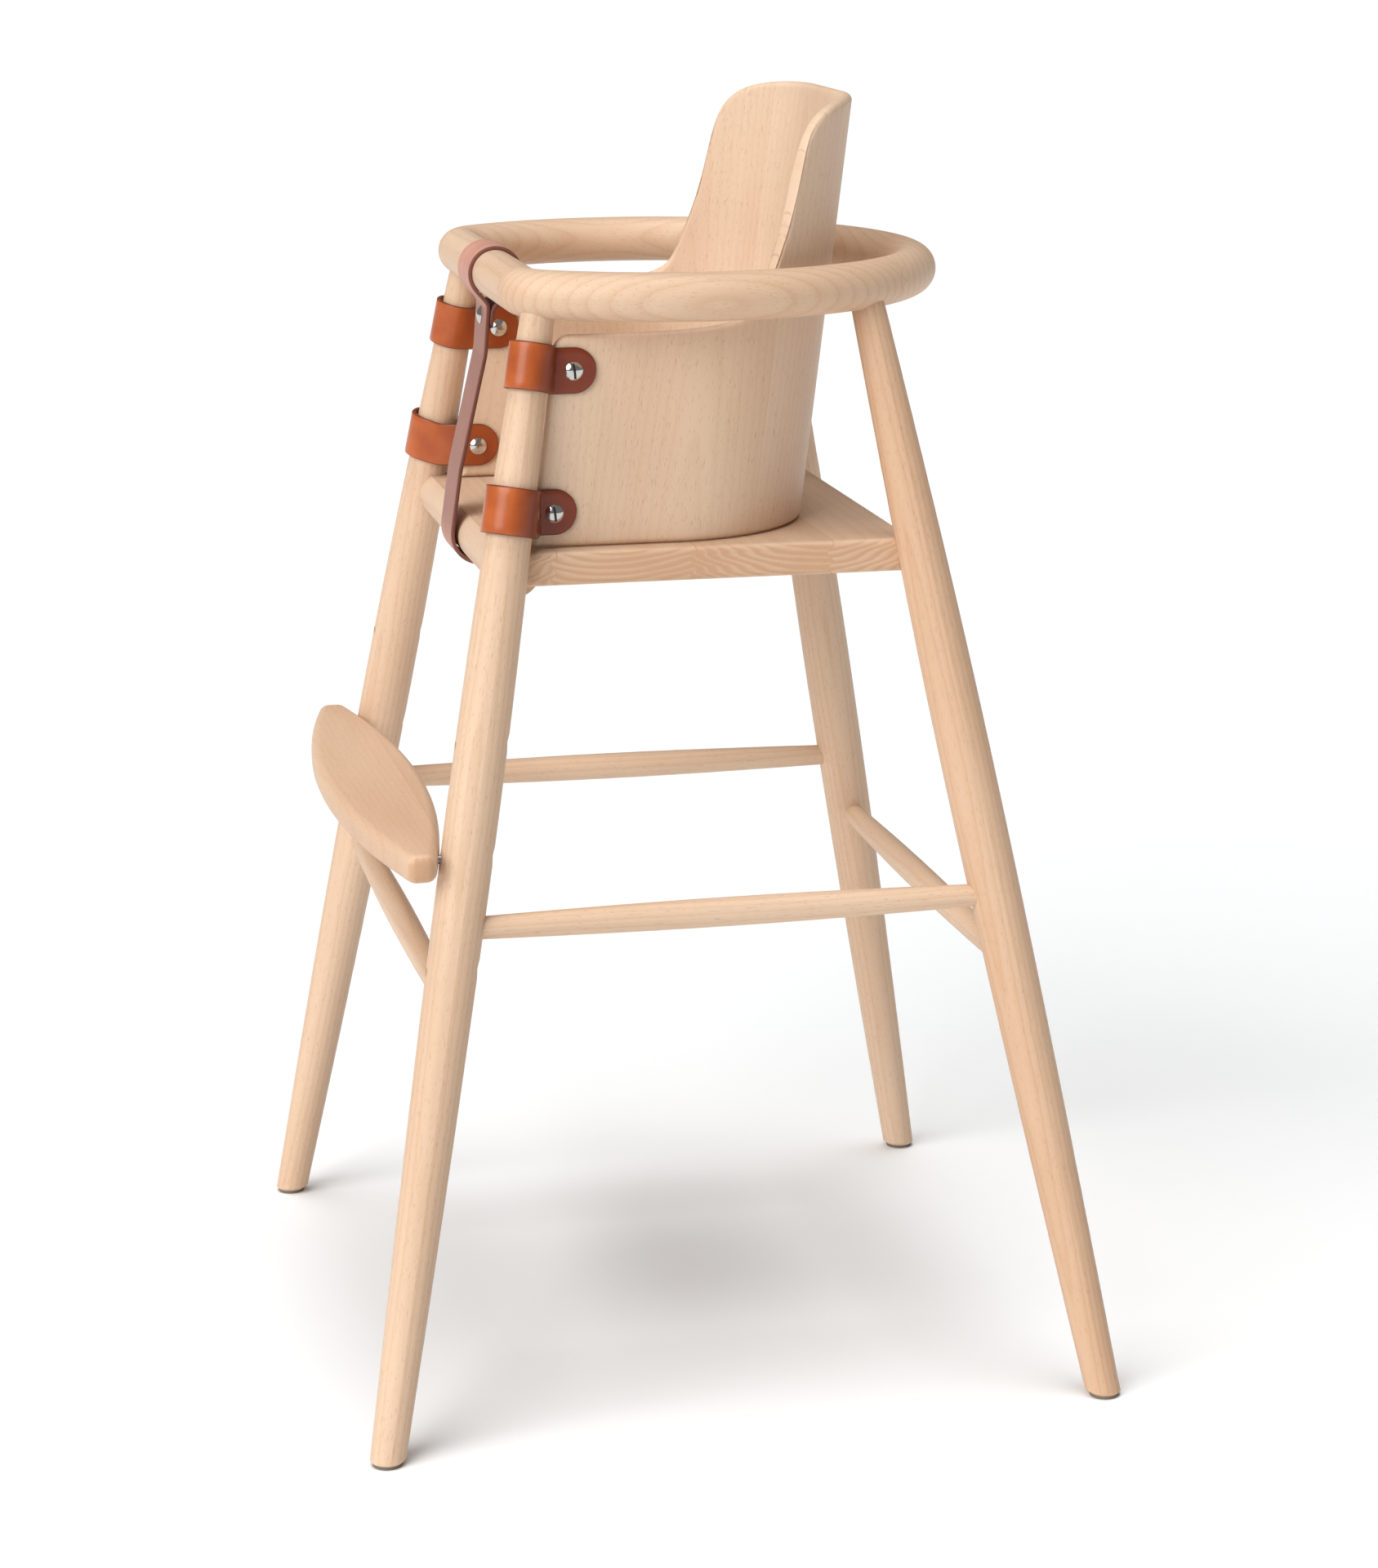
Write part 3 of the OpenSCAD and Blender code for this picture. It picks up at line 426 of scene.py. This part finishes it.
def metal(name, colour, rough, head_x=None):
    """Polished or dulled metal. With head_x, the distance from the chair's middle to the undersides of
    slotted heads that face sideways, their slots get painted shade."""
    g = Graph(name, metallic=1.0)
    place = g.position()
    wear = g.noise(place, (900, 60, 60), 3, 0.6)
    cloud = g.noise(place, (120, 120, 120), 2)
    dull = (colour[0] * 0.8, colour[1] * 0.8, colour[2] * 0.8, 1)
    base = g.mix(g.fit(cloud, 0.35, 0.75, 0, 0.6), colour, dull)
    if head_x:
        side = g.math("ABSOLUTE", g.split(place)[0])
        facing = g.math("ABSOLUTE", g.split(g.add("NewGeometry", {}, "True Normal"))[0])
        floor = g.math("MULTIPLY", g.math("GREATER_THAN", facing, 0.999),
                       g.math("LESS_THAN", side, head_x + SLOT_FLOOR_UNDER))
        wall = g.math("MULTIPLY", g.math("LESS_THAN", facing, 0.05),
                      g.math("GREATER_THAN", side, head_x + SLOT_WALL_ABOVE))
        # Painted shade in the slot's floor and walls
        base = g.mix(g.math("MAXIMUM", floor, wall), base, SLOT_SHADE)
    g.colour(base)
    g.rough(g.fit(wear, 0.25, 0.75, rough * 0.7, rough * 1.5))
    g.bump(wear, 0.00004, 0.3)
    return g.material


def plastic(name, colour, rough):
    g = Graph(name, ior=1.48)
    speckle = g.noise(g.position(), (1400, 1400, 1400), 2)
    light = tuple(min(1, c * 1.7) for c in colour[:3]) + (1,)
    g.colour(g.mix(g.fit(speckle, 0.3, 0.8, 0, 0.5), colour, light))
    g.rough(g.fit(speckle, 0.2, 0.8, rough, rough + 0.15))
    g.bump(speckle, 0.00008, 0.5)
    return g.material


# ---- Mesh helpers ----

def make_piece(name, vertices, faces, material, body, replaced):
    mesh = bpy.data.meshes.new(name)
    mesh.from_pydata([tuple(v) for v in vertices], [], faces)
    mesh.update()
    mesh.materials.append(material)
    mesh.shade_smooth()
    piece = bpy.data.objects.new(name, mesh)
    scene.collection.objects.link(piece)
    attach(piece, body)
    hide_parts(*replaced)
    return piece


def set_floats(mesh, name, values):
    mesh.attributes.new(name, "FLOAT", "POINT").data.foreach_set("value", values)


def smoothed(values, passes):
    """Rounds off the bends of a list of points or numbers, and keeps its two ends."""
    for _ in range(passes):
        inner = [(values[i - 1] + values[i] * 2 + values[i + 1]) / 4 for i in range(1, len(values) - 1)]
        values = [values[0], *inner, values[-1]]
    return values


def running_lengths(points):
    lengths = [0.0]
    for a, b in zip(points, points[1:]):
        lengths.append(lengths[-1] + (b - a).length)
    return lengths


def resampled(points, step):
    """The same line with points at even distances."""
    lengths = running_lengths(points)
    count = max(2, round(lengths[-1] / step))
    out, k = [], 0
    for i in range(count + 1):
        target = lengths[-1] * i / count
        while k < len(points) - 2 and lengths[k + 1] < target:
            k += 1
        span = max(lengths[k + 1] - lengths[k], 1e-9)
        out.append(points[k].lerp(points[k + 1], (target - lengths[k]) / span))
    return out


def ribbon(rows):
    """A strip of leather with rounded rims. A row is (centre, across, normal, half width, thin):
    thin scales its thickness. Returns vertices, faces and which vertices are on the rim."""
    flats, turns = 8, 5
    vertices, faces, rim = [], [], []
    for centre, across, normal, half_w, thin in rows:
        half_t = LEATHER_T / 2 * thin
        r = min(LEATHER_ROUND_R, half_t * 0.98, half_w)
        loop = []
        for side in (1, -1):
            for k in range(flats):
                share = -1 + 2 * k / (flats - 1)
                loop.append((side * share * (half_w - r), side * half_t, 0.0))
            for k in range(1, turns):
                a = math.pi / 2 - math.pi * k / turns
                x = half_w - r + r * math.cos(a)
                y = (half_t - r) * (1 if a > 0 else -1) + r * math.sin(a)
                loop.append((side * x, side * y, 1.0))
        for x, y, edge in loop:
            vertices.append(centre + across * x + normal * y)
            rim.append(edge)
    size = 2 * (flats + turns - 1)
    for i in range(len(rows) - 1):
        for k in range(size):
            a, b = i * size + k, i * size + (k + 1) % size
            faces.append((a, b, b + size, a + size))
    faces.append(tuple(range(size - 1, -1, -1)))
    last = (len(rows) - 1) * size
    faces.append(tuple(range(last, last + size)))
    return vertices, faces, rim


def corner_inset(distance, radius):
    """How far a corner of that radius has drawn a strip's edge in, at a distance from the tip."""
    d = min(max(distance, 0.0), radius)
    return radius - math.sqrt(radius**2 - (radius - d)**2)


def end_thinning(distance):
    """The strip's thickness near its tip, as a share of the whole."""
    d = min(max(distance, 0.0) / LEATHER_ROUND_R, 1.0)
    return 0.25 + 0.75 * math.sqrt(1 - (1 - d)**2)


def stations(line):
    """Each point of a line with the direction ahead and its distance from the nearer end."""
    runs = running_lengths(line)
    for i, point in enumerate(line):
        ahead = (line[min(i + 1, len(line) - 1)] - line[max(i - 1, 0)]).normalized()
        yield point, ahead, min(runs[i], runs[-1] - runs[i])


def leather_strip(node, material, rows, painted_shade, mirrored=False):
    """The piece that replaces a leather node. The fourth argument gives, for each row, how much painted
    shade its colour gets.
    """
    vertices, faces, rim = ribbon(rows)
    if mirrored:
        vertices = [Vector((-v.x, v.y, v.z)) for v in vertices]
        faces = [f[::-1] for f in faces]
    piece = make_piece(node + "_leather", vertices, faces, material, "chair", [node])
    around = len(vertices) // len(rows)
    set_floats(piece.data, "rim", rim)
    set_floats(piece.data, "painted_shade", [c for c in painted_shade for _ in range(around)])


# ---- Leather tabs ----

def tangent_angle(centre, point, radius, side):
    away = point - centre
    return math.atan2(away.y, away.x) + side * math.acos(radius / away.length)


def arc_points(centre, radius, start, end, steps):
    angles = [start + (end - start) * i / steps for i in range(steps + 1)]
    return [centre + radius * Vector((math.cos(a), math.sin(a))) for a in angles]


def tab_line(tip_y, z, centre, hug):
    """Plan of a left tab: the outer flap, round the leg, and the inner flap."""
    outer_x = SHELL_HALF_W + LEATHER_T / 2
    inner_x = SHELL_HALF_W - SHELL_T - LEATHER_T / 2
    edge_y = SHELL_FRONT_Y + SHELL_FRONT_SLOPE * (z - SHELL_Z)
    outer_bend = Vector((outer_x, edge_y + TAB_OUTER_BEND))
    inner_bend = Vector((inner_x, edge_y + TAB_INNER_BEND))
    outer_a = tangent_angle(centre, outer_bend, hug, -1)
    inner_a = tangent_angle(centre, inner_bend, hug, 1) - 2 * math.pi
    arc = arc_points(centre, hug, outer_a, inner_a, 40)
    corners = [Vector((outer_x, tip_y)), outer_bend, *arc, inner_bend, Vector((inner_x, tip_y))]
    return smoothed(resampled(corners, TAB_STEP), TAB_ROUNDING_PASSES)


def tab_piece(level, side, material):
    """A tab round a front leg, with a flap on each face of the shell. The band follows the leg's
    slope; it gets painted shade from the back of the leg, which is turned from the light, to the flap,
    and less of it inside the shell."""
    node = f"tab_{level}_{side}"
    low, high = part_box(node)
    z = (low.z + high.z) / 2
    foot, slope = leg_axis("front", "left")
    centre = foot.xy + slope.xy * z
    hug = leg_radius(z) + TAB_GAP + LEATHER_T / 2
    line = tab_line(high.y, z, centre, hug)
    on_leg = hug + 0.0012
    pull = smoothed([1.0 if (p - centre).length < on_leg else 0.0 for p in line], TAB_PULL_PASSES)
    rows = []
    for (p, ahead, end), share in zip(stations(line), pull):
        away = p - centre
        tilt = (BAND_LIFT[level] - slope.x * away.x - slope.y * away.y) * share
        across = Vector((slope.x * share, slope.y * share, 1))
        half_w = max(TAB_W / 2 - corner_inset(end, TAB_W / 2), LEAST_HALF_W)
        rows.append((Vector((p.x, p.y, z + tilt)), across, Vector((ahead.y, -ahead.x, 0)), half_w,
                     end_thinning(end)))
    half = len(line) / 2
    # Painted shade: darker towards the back of the leg, away from the light, and less of it inside the
    # shell
    outside = smoothed([1.0 if i < half else TAB_INNER_SHADE for i in range(len(line))], PAINTED_SHADE_PASSES)
    behind = [min(1.0, max(0.0, (p.y - centre.y + TAB_SHADE_LEAD) / TAB_SHADE_RUN)) for p in line]
    painted_shade = [b * o for b, o in zip(behind, outside)]
    leather_strip(node, material, rows, painted_shade, mirrored=side == "right")


# ---- Crotch strap ----

def strap_line():
    """Side view of the strap: a short ply behind, over the hoop, down the front, under the rail."""
    bar = Vector((HOOP_FRONT_Y, HOOP_Z))
    half_t = LEATHER_T / 2
    loop_r = HOOP_TUBE_R + STRAP_GAP + half_t
    down = (STRAP_KNEE - STRAP_JOIN).normalized()
    back = Vector((-down.y, down.x))
    back_join = STRAP_JOIN + back * (LEATHER_T + STRAP_PLY_GAP) + down * STRAP_SPLIT
    loop_from = tangent_angle(bar, back_join, loop_r, 1)
    loop_to = tangent_angle(bar, STRAP_JOIN, loop_r, -1) + 2 * math.pi
    wrap_from = tangent_angle(WRAP_CENTRE, STRAP_BELLY, WRAP_R, 1)
    under_z = SEAT_Z - SEAT_T - STRAP_GAP - half_t
    points = [
        back_join + down * STRAP_TAIL,
        back_join,
        *arc_points(bar, loop_r, loop_from, loop_to, 40),
        STRAP_JOIN,
        STRAP_KNEE,
        STRAP_BELLY,
        *arc_points(WRAP_CENTRE, WRAP_R, wrap_from, WRAP_END, 24),
        Vector((UNDER_START_Y, under_z)),
        Vector((UNDER_END_Y, under_z)),
    ]
    return smoothed(resampled(points, STRAP_STEP), STRAP_ROUNDING_PASSES)


def strap_piece(material):
    """The crotch strap, with painted shade, a flat darker colour, between the hoop and the rail, and the
    lighter colour on its bends as a painted highlight.
    """
    line = strap_line()
    rows = []
    for p, ahead, end in stations(line):
        half_w = STRAP_W / 2 - corner_inset(end, STRAP_CORNER_R)
        rows.append((Vector((0, p.x, p.y)), Vector((1, 0, 0)), Vector((0, ahead.y, -ahead.x)), half_w,
                     end_thinning(end)))
    # Painted shade on the straight run; the bends keep the lighter colour as a painted highlight
    painted_shade = smoothed([1.0 if WRAP_CENTRE.y < p.y < STRAP_JOIN.y else 0.0 for p in line], PAINTED_SHADE_PASSES)
    leather_strip("crotch_strap", material, rows, painted_shade)


# ---- Seat shell ----

def bezier(a, b, c, d, t):
    return a * (1 - t)**3 + b * 3 * t * (1 - t)**2 + c * 3 * t * t * (1 - t) + d * t**3


def shell_profile():
    """The shell's upper outline from the side, as (y, z) points from front to back."""
    corner_z = SHELL_SIDE_Z - SHELL_CORNER_R
    front_top = SHELL_FRONT_Y + SHELL_FRONT_SLOPE * (corner_z - SHELL_Z)
    turn = [math.radians(6 * i) for i in range(16)]
    corner = [
        Vector((front_top + SHELL_CORNER_R * (1 - math.cos(a)), corner_z + SHELL_CORNER_R * math.sin(a)))
        for a in turn
    ]
    level, upward = Vector((1, 0)), Vector((math.cos(RISE_ANGLE), math.sin(RISE_ANGLE)))
    lower = (RISE_START, RISE_START + RISE_START_HANDLE * level,
             RISE_MIDDLE - RISE_LOWER_HANDLE * upward, RISE_MIDDLE)
    upper = (RISE_MIDDLE, RISE_MIDDLE + RISE_UPPER_HANDLE * upward,
             RISE_TOP - RISE_UPPER_HANDLE * level, RISE_TOP)
    steps = [i / 40 for i in range(41)]
    rise = [bezier(*lower, t) for t in steps] + [bezier(*upper, t) for t in steps[1:]]
    return [*corner, *rise, CROWN_END]


def height_at(profile, y):
    for a, b in zip(profile, profile[1:]):
        if y <= b.x:
            return a.y if y <= a.x else a.y + (b.y - a.y) * (y - a.x) / (b.x - a.x)
    return profile[-1].y


def shell_plan(run):
    """Plan point of the sheet's middle at a distance from the middle of the back, unleaned."""
    bend = SHELL_BEND_R - SHELL_T / 2
    flat = SHELL_HALF_W - SHELL_BEND_R
    mid_y = SHELL_BACK_Y - SHELL_BEND_R
    if run < flat:
        return run, mid_y + bend
    if run < flat + bend * math.pi / 2:
        a = (run - flat) / bend
        return flat + bend * math.sin(a), mid_y + bend * math.cos(a)
    return SHELL_HALF_W - SHELL_T / 2, mid_y - (run - flat - bend * math.pi / 2)


def column_top(profile, base_y, rise):
    """Height at which a column that leans by rise meets the outline."""
    low, high = SHELL_Z, SHELL_TOP_Z + 0.001
    for _ in range(30):
        middle = (low + high) / 2
        if middle < height_at(profile, base_y + rise * (middle - SHELL_Z)):
            low = middle
        else:
            high = middle
    return low


def shell_columns():
    """The sheet's middle surface as columns of points from the seat up to the outline. Each column
    is (distance along the sheet, points)."""
    profile = shell_profile()
    lean = math.tan(SHELL_LEAN)
    flat = SHELL_HALF_W - SHELL_BEND_R
    bend_end = flat + (SHELL_BEND_R - SHELL_T / 2) * math.pi / 2
    wall = bend_end + SHELL_BACK_Y - SHELL_BEND_R - SHELL_FRONT_Y * math.cos(SHELL_LEAN)
    near_front, fine_steps, front_steps = 0.014, 230, 14
    fine = wall - near_front - flat
    runs = [flat * i / 16 for i in range(16)] + [flat + fine * i / fine_steps for i in range(fine_steps)]
    runs += [wall - near_front * (1 - k / front_steps)**2 for k in range(front_steps + 1)]
    columns = []
    for run in [-r for r in reversed(runs[1:])] + runs:
        x, flat_y = shell_plan(abs(run))
        on_wall = max(0.0, (abs(run) - bend_end) / (wall - bend_end))
        rise = lean + on_wall * (SHELL_FRONT_SLOPE - lean)
        base_y = flat_y / math.cos(SHELL_LEAN)
        heights = rows_between(SHELL_Z, column_top(profile, base_y, rise))
        column = [Vector((math.copysign(x, run), base_y + rise * (z - SHELL_Z), z)) for z in heights]
        columns.append((run, column))
    return columns, wall


def rows_between(low, high):
    """Heights from low to high, close together near both ends."""
    rim = [0, 0.0002, 0.0006, 0.0012, 0.002, 0.003, 0.0042, 0.006]
    first, last, count = low + rim[-1], high - rim[-1], 34
    inner = [first + (last - first) * k / count for k in range(1, count)]
    return [low + d for d in rim] + inner + [high - d for d in reversed(rim)]


def rim_distance(columns, i, k, wall):
    """Distance inside the sheet from a point to its nearest edge."""
    run, column = columns[i]
    point = column[k]
    nearest = min(wall - abs(run), point.z - SHELL_Z)
    reach = 14
    for j in range(max(0, i - reach), min(len(columns), i + reach + 1)):
        top = columns[j][1][-1]
        nearest = min(nearest, math.hypot(columns[j][0] - run, top.z - point.z))
    return nearest


def sheet_faces(count, rows):
    """The two faces and the rim of a sheet of count columns and rows points in each. The second
    face's vertices follow all of the first one's."""
    total = count * rows
    faces = []
    for i in range(count - 1):
        for k in range(rows - 1):
            a = i * rows + k
            quad = (a, a + rows, a + rows + 1, a + 1)
            faces += [quad[::-1], tuple(total + v for v in quad)]
    edge = [i * rows for i in range(count)] + [(count - 1) * rows + k for k in range(1, rows)]
    edge += [i * rows + rows - 1 for i in range(count - 2, -1, -1)] + list(range(rows - 2, 0, -1))
    return faces + [(a, b, total + b, total + a) for a, b in zip(edge, edge[1:] + edge[:1])]


def shell_piece(material):
    """A bent sheet whose thickness rounds off towards its edges."""
    columns, wall = shell_columns()
    count, rows = len(columns), len(columns[0][1])
    round_r = SHELL_T / 2 - SHELL_RIM_HALF
    outer, inner, veneer = [], [], []
    for i, (run, column) in enumerate(columns):
        before, after = columns[max(i - 1, 0)][1], columns[min(i + 1, count - 1)][1]
        for k, point in enumerate(column):
            along = after[k] - before[k]
            up = column[min(k + 1, rows - 1)] - column[max(k - 1, 0)]
            normal = up.cross(along).normalized()
            d = max(0.0, rim_distance(columns, i, k, wall))
            half = SHELL_T / 2
            if d < round_r:
                half = SHELL_RIM_HALF + math.sqrt(round_r**2 - (round_r - d)**2)
            outer.append(point + normal * half)
            inner.append(point - normal * half)
            veneer.append((run, half, point.z))
    piece = make_piece("seat_shell_plywood", outer + inner, sheet_faces(count, rows), material, "chair",
                       ["seat_shell"])
    places = [c for r, h, z in veneer for c in (r, h, z)] + [c for r, h, z in veneer for c in (r, -h, z)]
    piece.data.attributes.new("veneer", "FLOAT_VECTOR", "POINT").data.foreach_set("vector", places)


# ---- Footrest ----

def footrest_arcs():
    """Centre and radius of the front edge and of the back edge."""
    radii = [(FOOTREST_HALF_L**2 + sagitta**2) / (2 * sagitta)
             for sagitta in (FOOTREST_FRONT_SAGITTA, FOOTREST_BACK_SAGITTA)]
    front_c = Vector((0, rest_low.y + radii[0]))
    back_c = Vector((0, rest_low.y + FOOTREST_DEPTH - radii[1]))
    return (front_c, radii[0]), (back_c, radii[1])


def footrest_outline():
    """The board's plan as (place, outward direction) pairs. The edge lies one corner radius
    outwards from the place."""
    steps, turns = 70, 9
    reach = FOOTREST_HALF_L - FOOTREST_CORNER_R

    def arc(centre, radius, sign, start, end):
        inner = radius - FOOTREST_CORNER_R
        for i in range(steps + 1):
            x = start + (end - start) * i / steps
            out = Vector((x, sign * math.sqrt(inner**2 - x * x))).normalized()
            yield centre + out * inner, out

    front_edge, back_edge = footrest_arcs()
    front = list(arc(*front_edge, -1, -reach, reach))
    back = list(arc(*back_edge, 1, reach, -reach))
    outline = []
    for run, following, tip in ((front, back, Vector((1, 0))), (back, front, Vector((-1, 0)))):
        outline += run
        for place, a, b in ((*run[-1], tip), (following[0][0], tip, following[0][1])):
            outline += [(place, a.slerp(b, j / turns).normalized()) for j in range(1, turns)]
    return outline


def footrest_piece(material):
    """A lens-shaped board with its long edges and corners rounded, and bores for the inserts."""
    outline = footrest_outline()
    edge_steps = 6
    angles = [math.pi / 2 * j / edge_steps for j in range(edge_steps + 1)]
    profile = [(FOOTREST_EDGE_R * (1 - math.sin(a)), FOOTREST_T / 2 - FOOTREST_EDGE_R * (1 - math.cos(a)))
               for a in angles]
    profile += [(inset, -up) for inset, up in reversed(profile)]
    vertices = []
    for inset, up in profile:
        for place, out in outline:
            p = place + out * (FOOTREST_CORNER_R - inset)
            vertices.append((p.x, p.y, FOOTREST_Z + up))
    count = len(outline)
    last = (len(profile) - 1) * count
    faces = [tuple(range(count)), tuple(range(last + count - 1, last - 1, -1))]
    for i in range(0, last, count):
        for k in range(count):
            a, b = i + k, i + (k + 1) % count
            faces.append((a, a + count, b + count, b))
    piece = make_piece("footrest_board", vertices, faces, material, "footrest_board", ["footrest"])
    bore(piece, insert_mouths(), INSERT_BORE_R, INSERT_BORE_DEPTH)


def insert_mouths():
    """Where the inserts meet the back edge: one pair for each height, as the legs are splayed."""
    foot, slope = leg_axis("front", "left")
    back_c, back_r = footrest_arcs()[1]
    mouths = []
    for step in (-1, 0, 1):
        x = foot.x + slope.x * (FOOTREST_Z + step * FOOTREST_STEP)
        y = back_c.y + math.sqrt(back_r**2 - x * x)
        mouths += [Vector((x, y, FOOTREST_Z)), Vector((-x, y, FOOTREST_Z))]
    return mouths


def bore(piece, mouths, radius, depth):
    """Round blind holes that run forwards (-Y) from the mouths."""
    turns = 40
    vertices, faces = [], []
    for mouth in mouths:
        base = len(vertices)
        for y in (mouth.y + INSERT_BORE_LEAD, mouth.y - depth):
            for k in range(turns):
                a = 2 * math.pi * k / turns
                vertices.append((mouth.x + radius * math.cos(a), y, mouth.z + radius * math.sin(a)))
        near, far = list(range(base, base + turns)), list(range(base + turns, base + 2 * turns))
        faces += [(near[k], near[(k + 1) % turns], far[(k + 1) % turns], far[k]) for k in range(turns)]
        faces += [tuple(reversed(near)), tuple(far)]
    mesh = bpy.data.meshes.new("bores")
    mesh.from_pydata(vertices, [], faces)
    cutter = bpy.data.objects.new("bores", mesh)
    scene.collection.objects.link(cutter)
    cut = piece.modifiers.new("bores", "BOOLEAN")
    cut.operation, cut.object, cut.solver = "DIFFERENCE", cutter, "EXACT"
    evaluated = piece.evaluated_get(bpy.context.evaluated_depsgraph_get())
    drilled = bpy.data.meshes.new_from_object(evaluated)
    piece.modifiers.clear()
    piece.data = drilled
    drilled.set_sharp_from_angle(angle=SHARP_ANGLE)
    bpy.data.objects.remove(cutter)


# ---- Stage, light and camera ----

FLOOR_HALF = 40.0
WORLD_STRENGTH = 0.22
# Each sun: where it stands, its strength and the angle it fills
SUNS = {"key": ((1.9, -2.5, 1.9), 0.8, 46), "top": ((0.2, -0.1, 3), 0.5, 28)}
# The photograph's camera: its place, how far it looks down and to the left, and its focal length
CAMERA_PLACE = (2.5867, -0.5699, 1.0689)
CAMERA_DOWN, CAMERA_TURN = 14.355, 77.264
FOCAL_PIXELS, PICTURE_PIXELS = 4590.7, 1687
SENSOR_MM = 36


def build_stage():
    size = FLOOR_HALF
    corners = [(-size, -size, 0), (size, -size, 0), (size, size, 0), (-size, size, 0)]
    mesh = bpy.data.meshes.new("floor")
    mesh.from_pydata(corners, [], [(0, 1, 2, 3)])
    floor = bpy.data.objects.new("floor", mesh)
    scene.collection.objects.link(floor)
    g = Graph("pale_floor", roughness=0.9)
    g.colour(FLOOR_WHITE)
    mesh.materials.append(g.material)

    world = bpy.data.worlds.new("studio")
    world.use_nodes = True
    background = world.node_tree.nodes["Background"]
    background.inputs["Color"].default_value = (1, 1, 1, 1)
    background.inputs["Strength"].default_value = WORLD_STRENGTH
    scene.world = world

    for name, (place, power, spread) in SUNS.items():
        light = bpy.data.lights.new(name, "SUN")
        light.energy, light.angle = power * math.pi, math.radians(spread)
        lamp = bpy.data.objects.new(name, light)
        lamp.rotation_euler = Vector(place).to_track_quat("Z", "Y").to_euler()
        scene.collection.objects.link(lamp)


def build_camera():
    data = bpy.data.cameras.new("camera")
    camera = bpy.data.objects.new("camera", data)
    camera.location = CAMERA_PLACE
    camera.rotation_euler = (math.radians(90 - CAMERA_DOWN), 0, math.radians(CAMERA_TURN))
    data.sensor_fit = "HORIZONTAL"
    data.sensor_width = SENSOR_MM
    data.lens = SENSOR_MM * FOCAL_PIXELS / PICTURE_PIXELS
    scene.collection.objects.link(camera)
    scene.camera = camera


# ---- Putting it together ----

def paint(node, material):
    mesh = nodes[node].data
    mesh.materials.clear()
    mesh.materials.append(material)


# The near back leg is coloured darker than the others
EXTRA_TONE = {("back", "left"): 0.4}


def paint_wood():
    hoop = hoop_wood()
    for node in ("hoop_front", "hoop_left", "hoop_right", "hoop_back"):
        paint(node, hoop)
    seed = 0
    for end in ("front", "back"):
        for side in ("left", "right"):
            foot, slope = leg_axis(end, side)
            seed += 1
            pith = (0.028 + 0.006 * math.sin(seed * 2.1), 0.02 * math.cos(seed * 1.3))
            drift = Vector((0.006 * math.sin(seed), 0.008 * math.cos(seed * 2), 0))
            tone = 0.05 * math.sin(seed * 1.7) + EXTRA_TONE.get((end, side), 0)
            material = straight_wood(f"beech_leg_{end}_{side}", foot, slope + drift, pith, tone=tone)
            paint(f"leg_{end}_{side}", material)
    for k, node in enumerate(("stretcher_left", "stretcher_right", "stretcher_front", "stretcher_back")):
        low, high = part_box(node)
        middle = (low + high) / 2
        axis = (0, 1, 0.01) if k < 2 else (1, 0, 0.008)
        pith = (0.02 + 0.004 * k, 0.015 - 0.006 * k)
        paint(node, straight_wood("beech_" + node, middle, axis, pith, tone=-0.04))
    rail = straight_wood("beech_seat_rail", (0, -0.14, 0.583), (1, 0.01, 0), (0.03, 0.02))
    paint("seat_rail", rail)
    paint("seat_dowels", rail)
    paint("seat_board", board_wood())


def main():
    build_camera()
    build_stage()
    scene.view_settings.view_transform = "Standard"
    paint_wood()
    tan = leather("tan_leather", TAN, 0.3, 0.00005, coat=0.14)
    mauve = leather("mauve_leather", MAUVE, 0.5, 0.0001, sheen=0.05)
    nickel = metal("bright_nickel", NICKEL, 0.1)
    steel = metal("dark_steel", STEEL, 0.4)
    brass = metal("brass", BRASS, 0.35)
    glide = plastic("glide_plastic", GLIDE_BROWN, 0.55)
    for level in ("upper", "lower"):
        for side in ("left", "right"):
            tab_piece(level, side, tan)
    strap_piece(mauve)
    shell_piece(shell_wood())
    footrest_piece(footrest_wood())
    paint("tab_screws", metal("slotted_nickel", NICKEL, 0.1, head_x=SHELL_HALF_W + LEATHER_T))
    for node in ("tab_posts", "strap_stud_cap", "strap_stud_post", "strap_screw", "strap_washer"):
        paint(node, nickel)
    for node in ("rail_pins", "bolt_left", "bolt_right"):
        paint(node, steel)
    paint("footrest_inserts", brass)
    for end in ("front", "back"):
        for side in ("left", "right"):
            paint(f"glide_{end}_{side}", glide)


main()
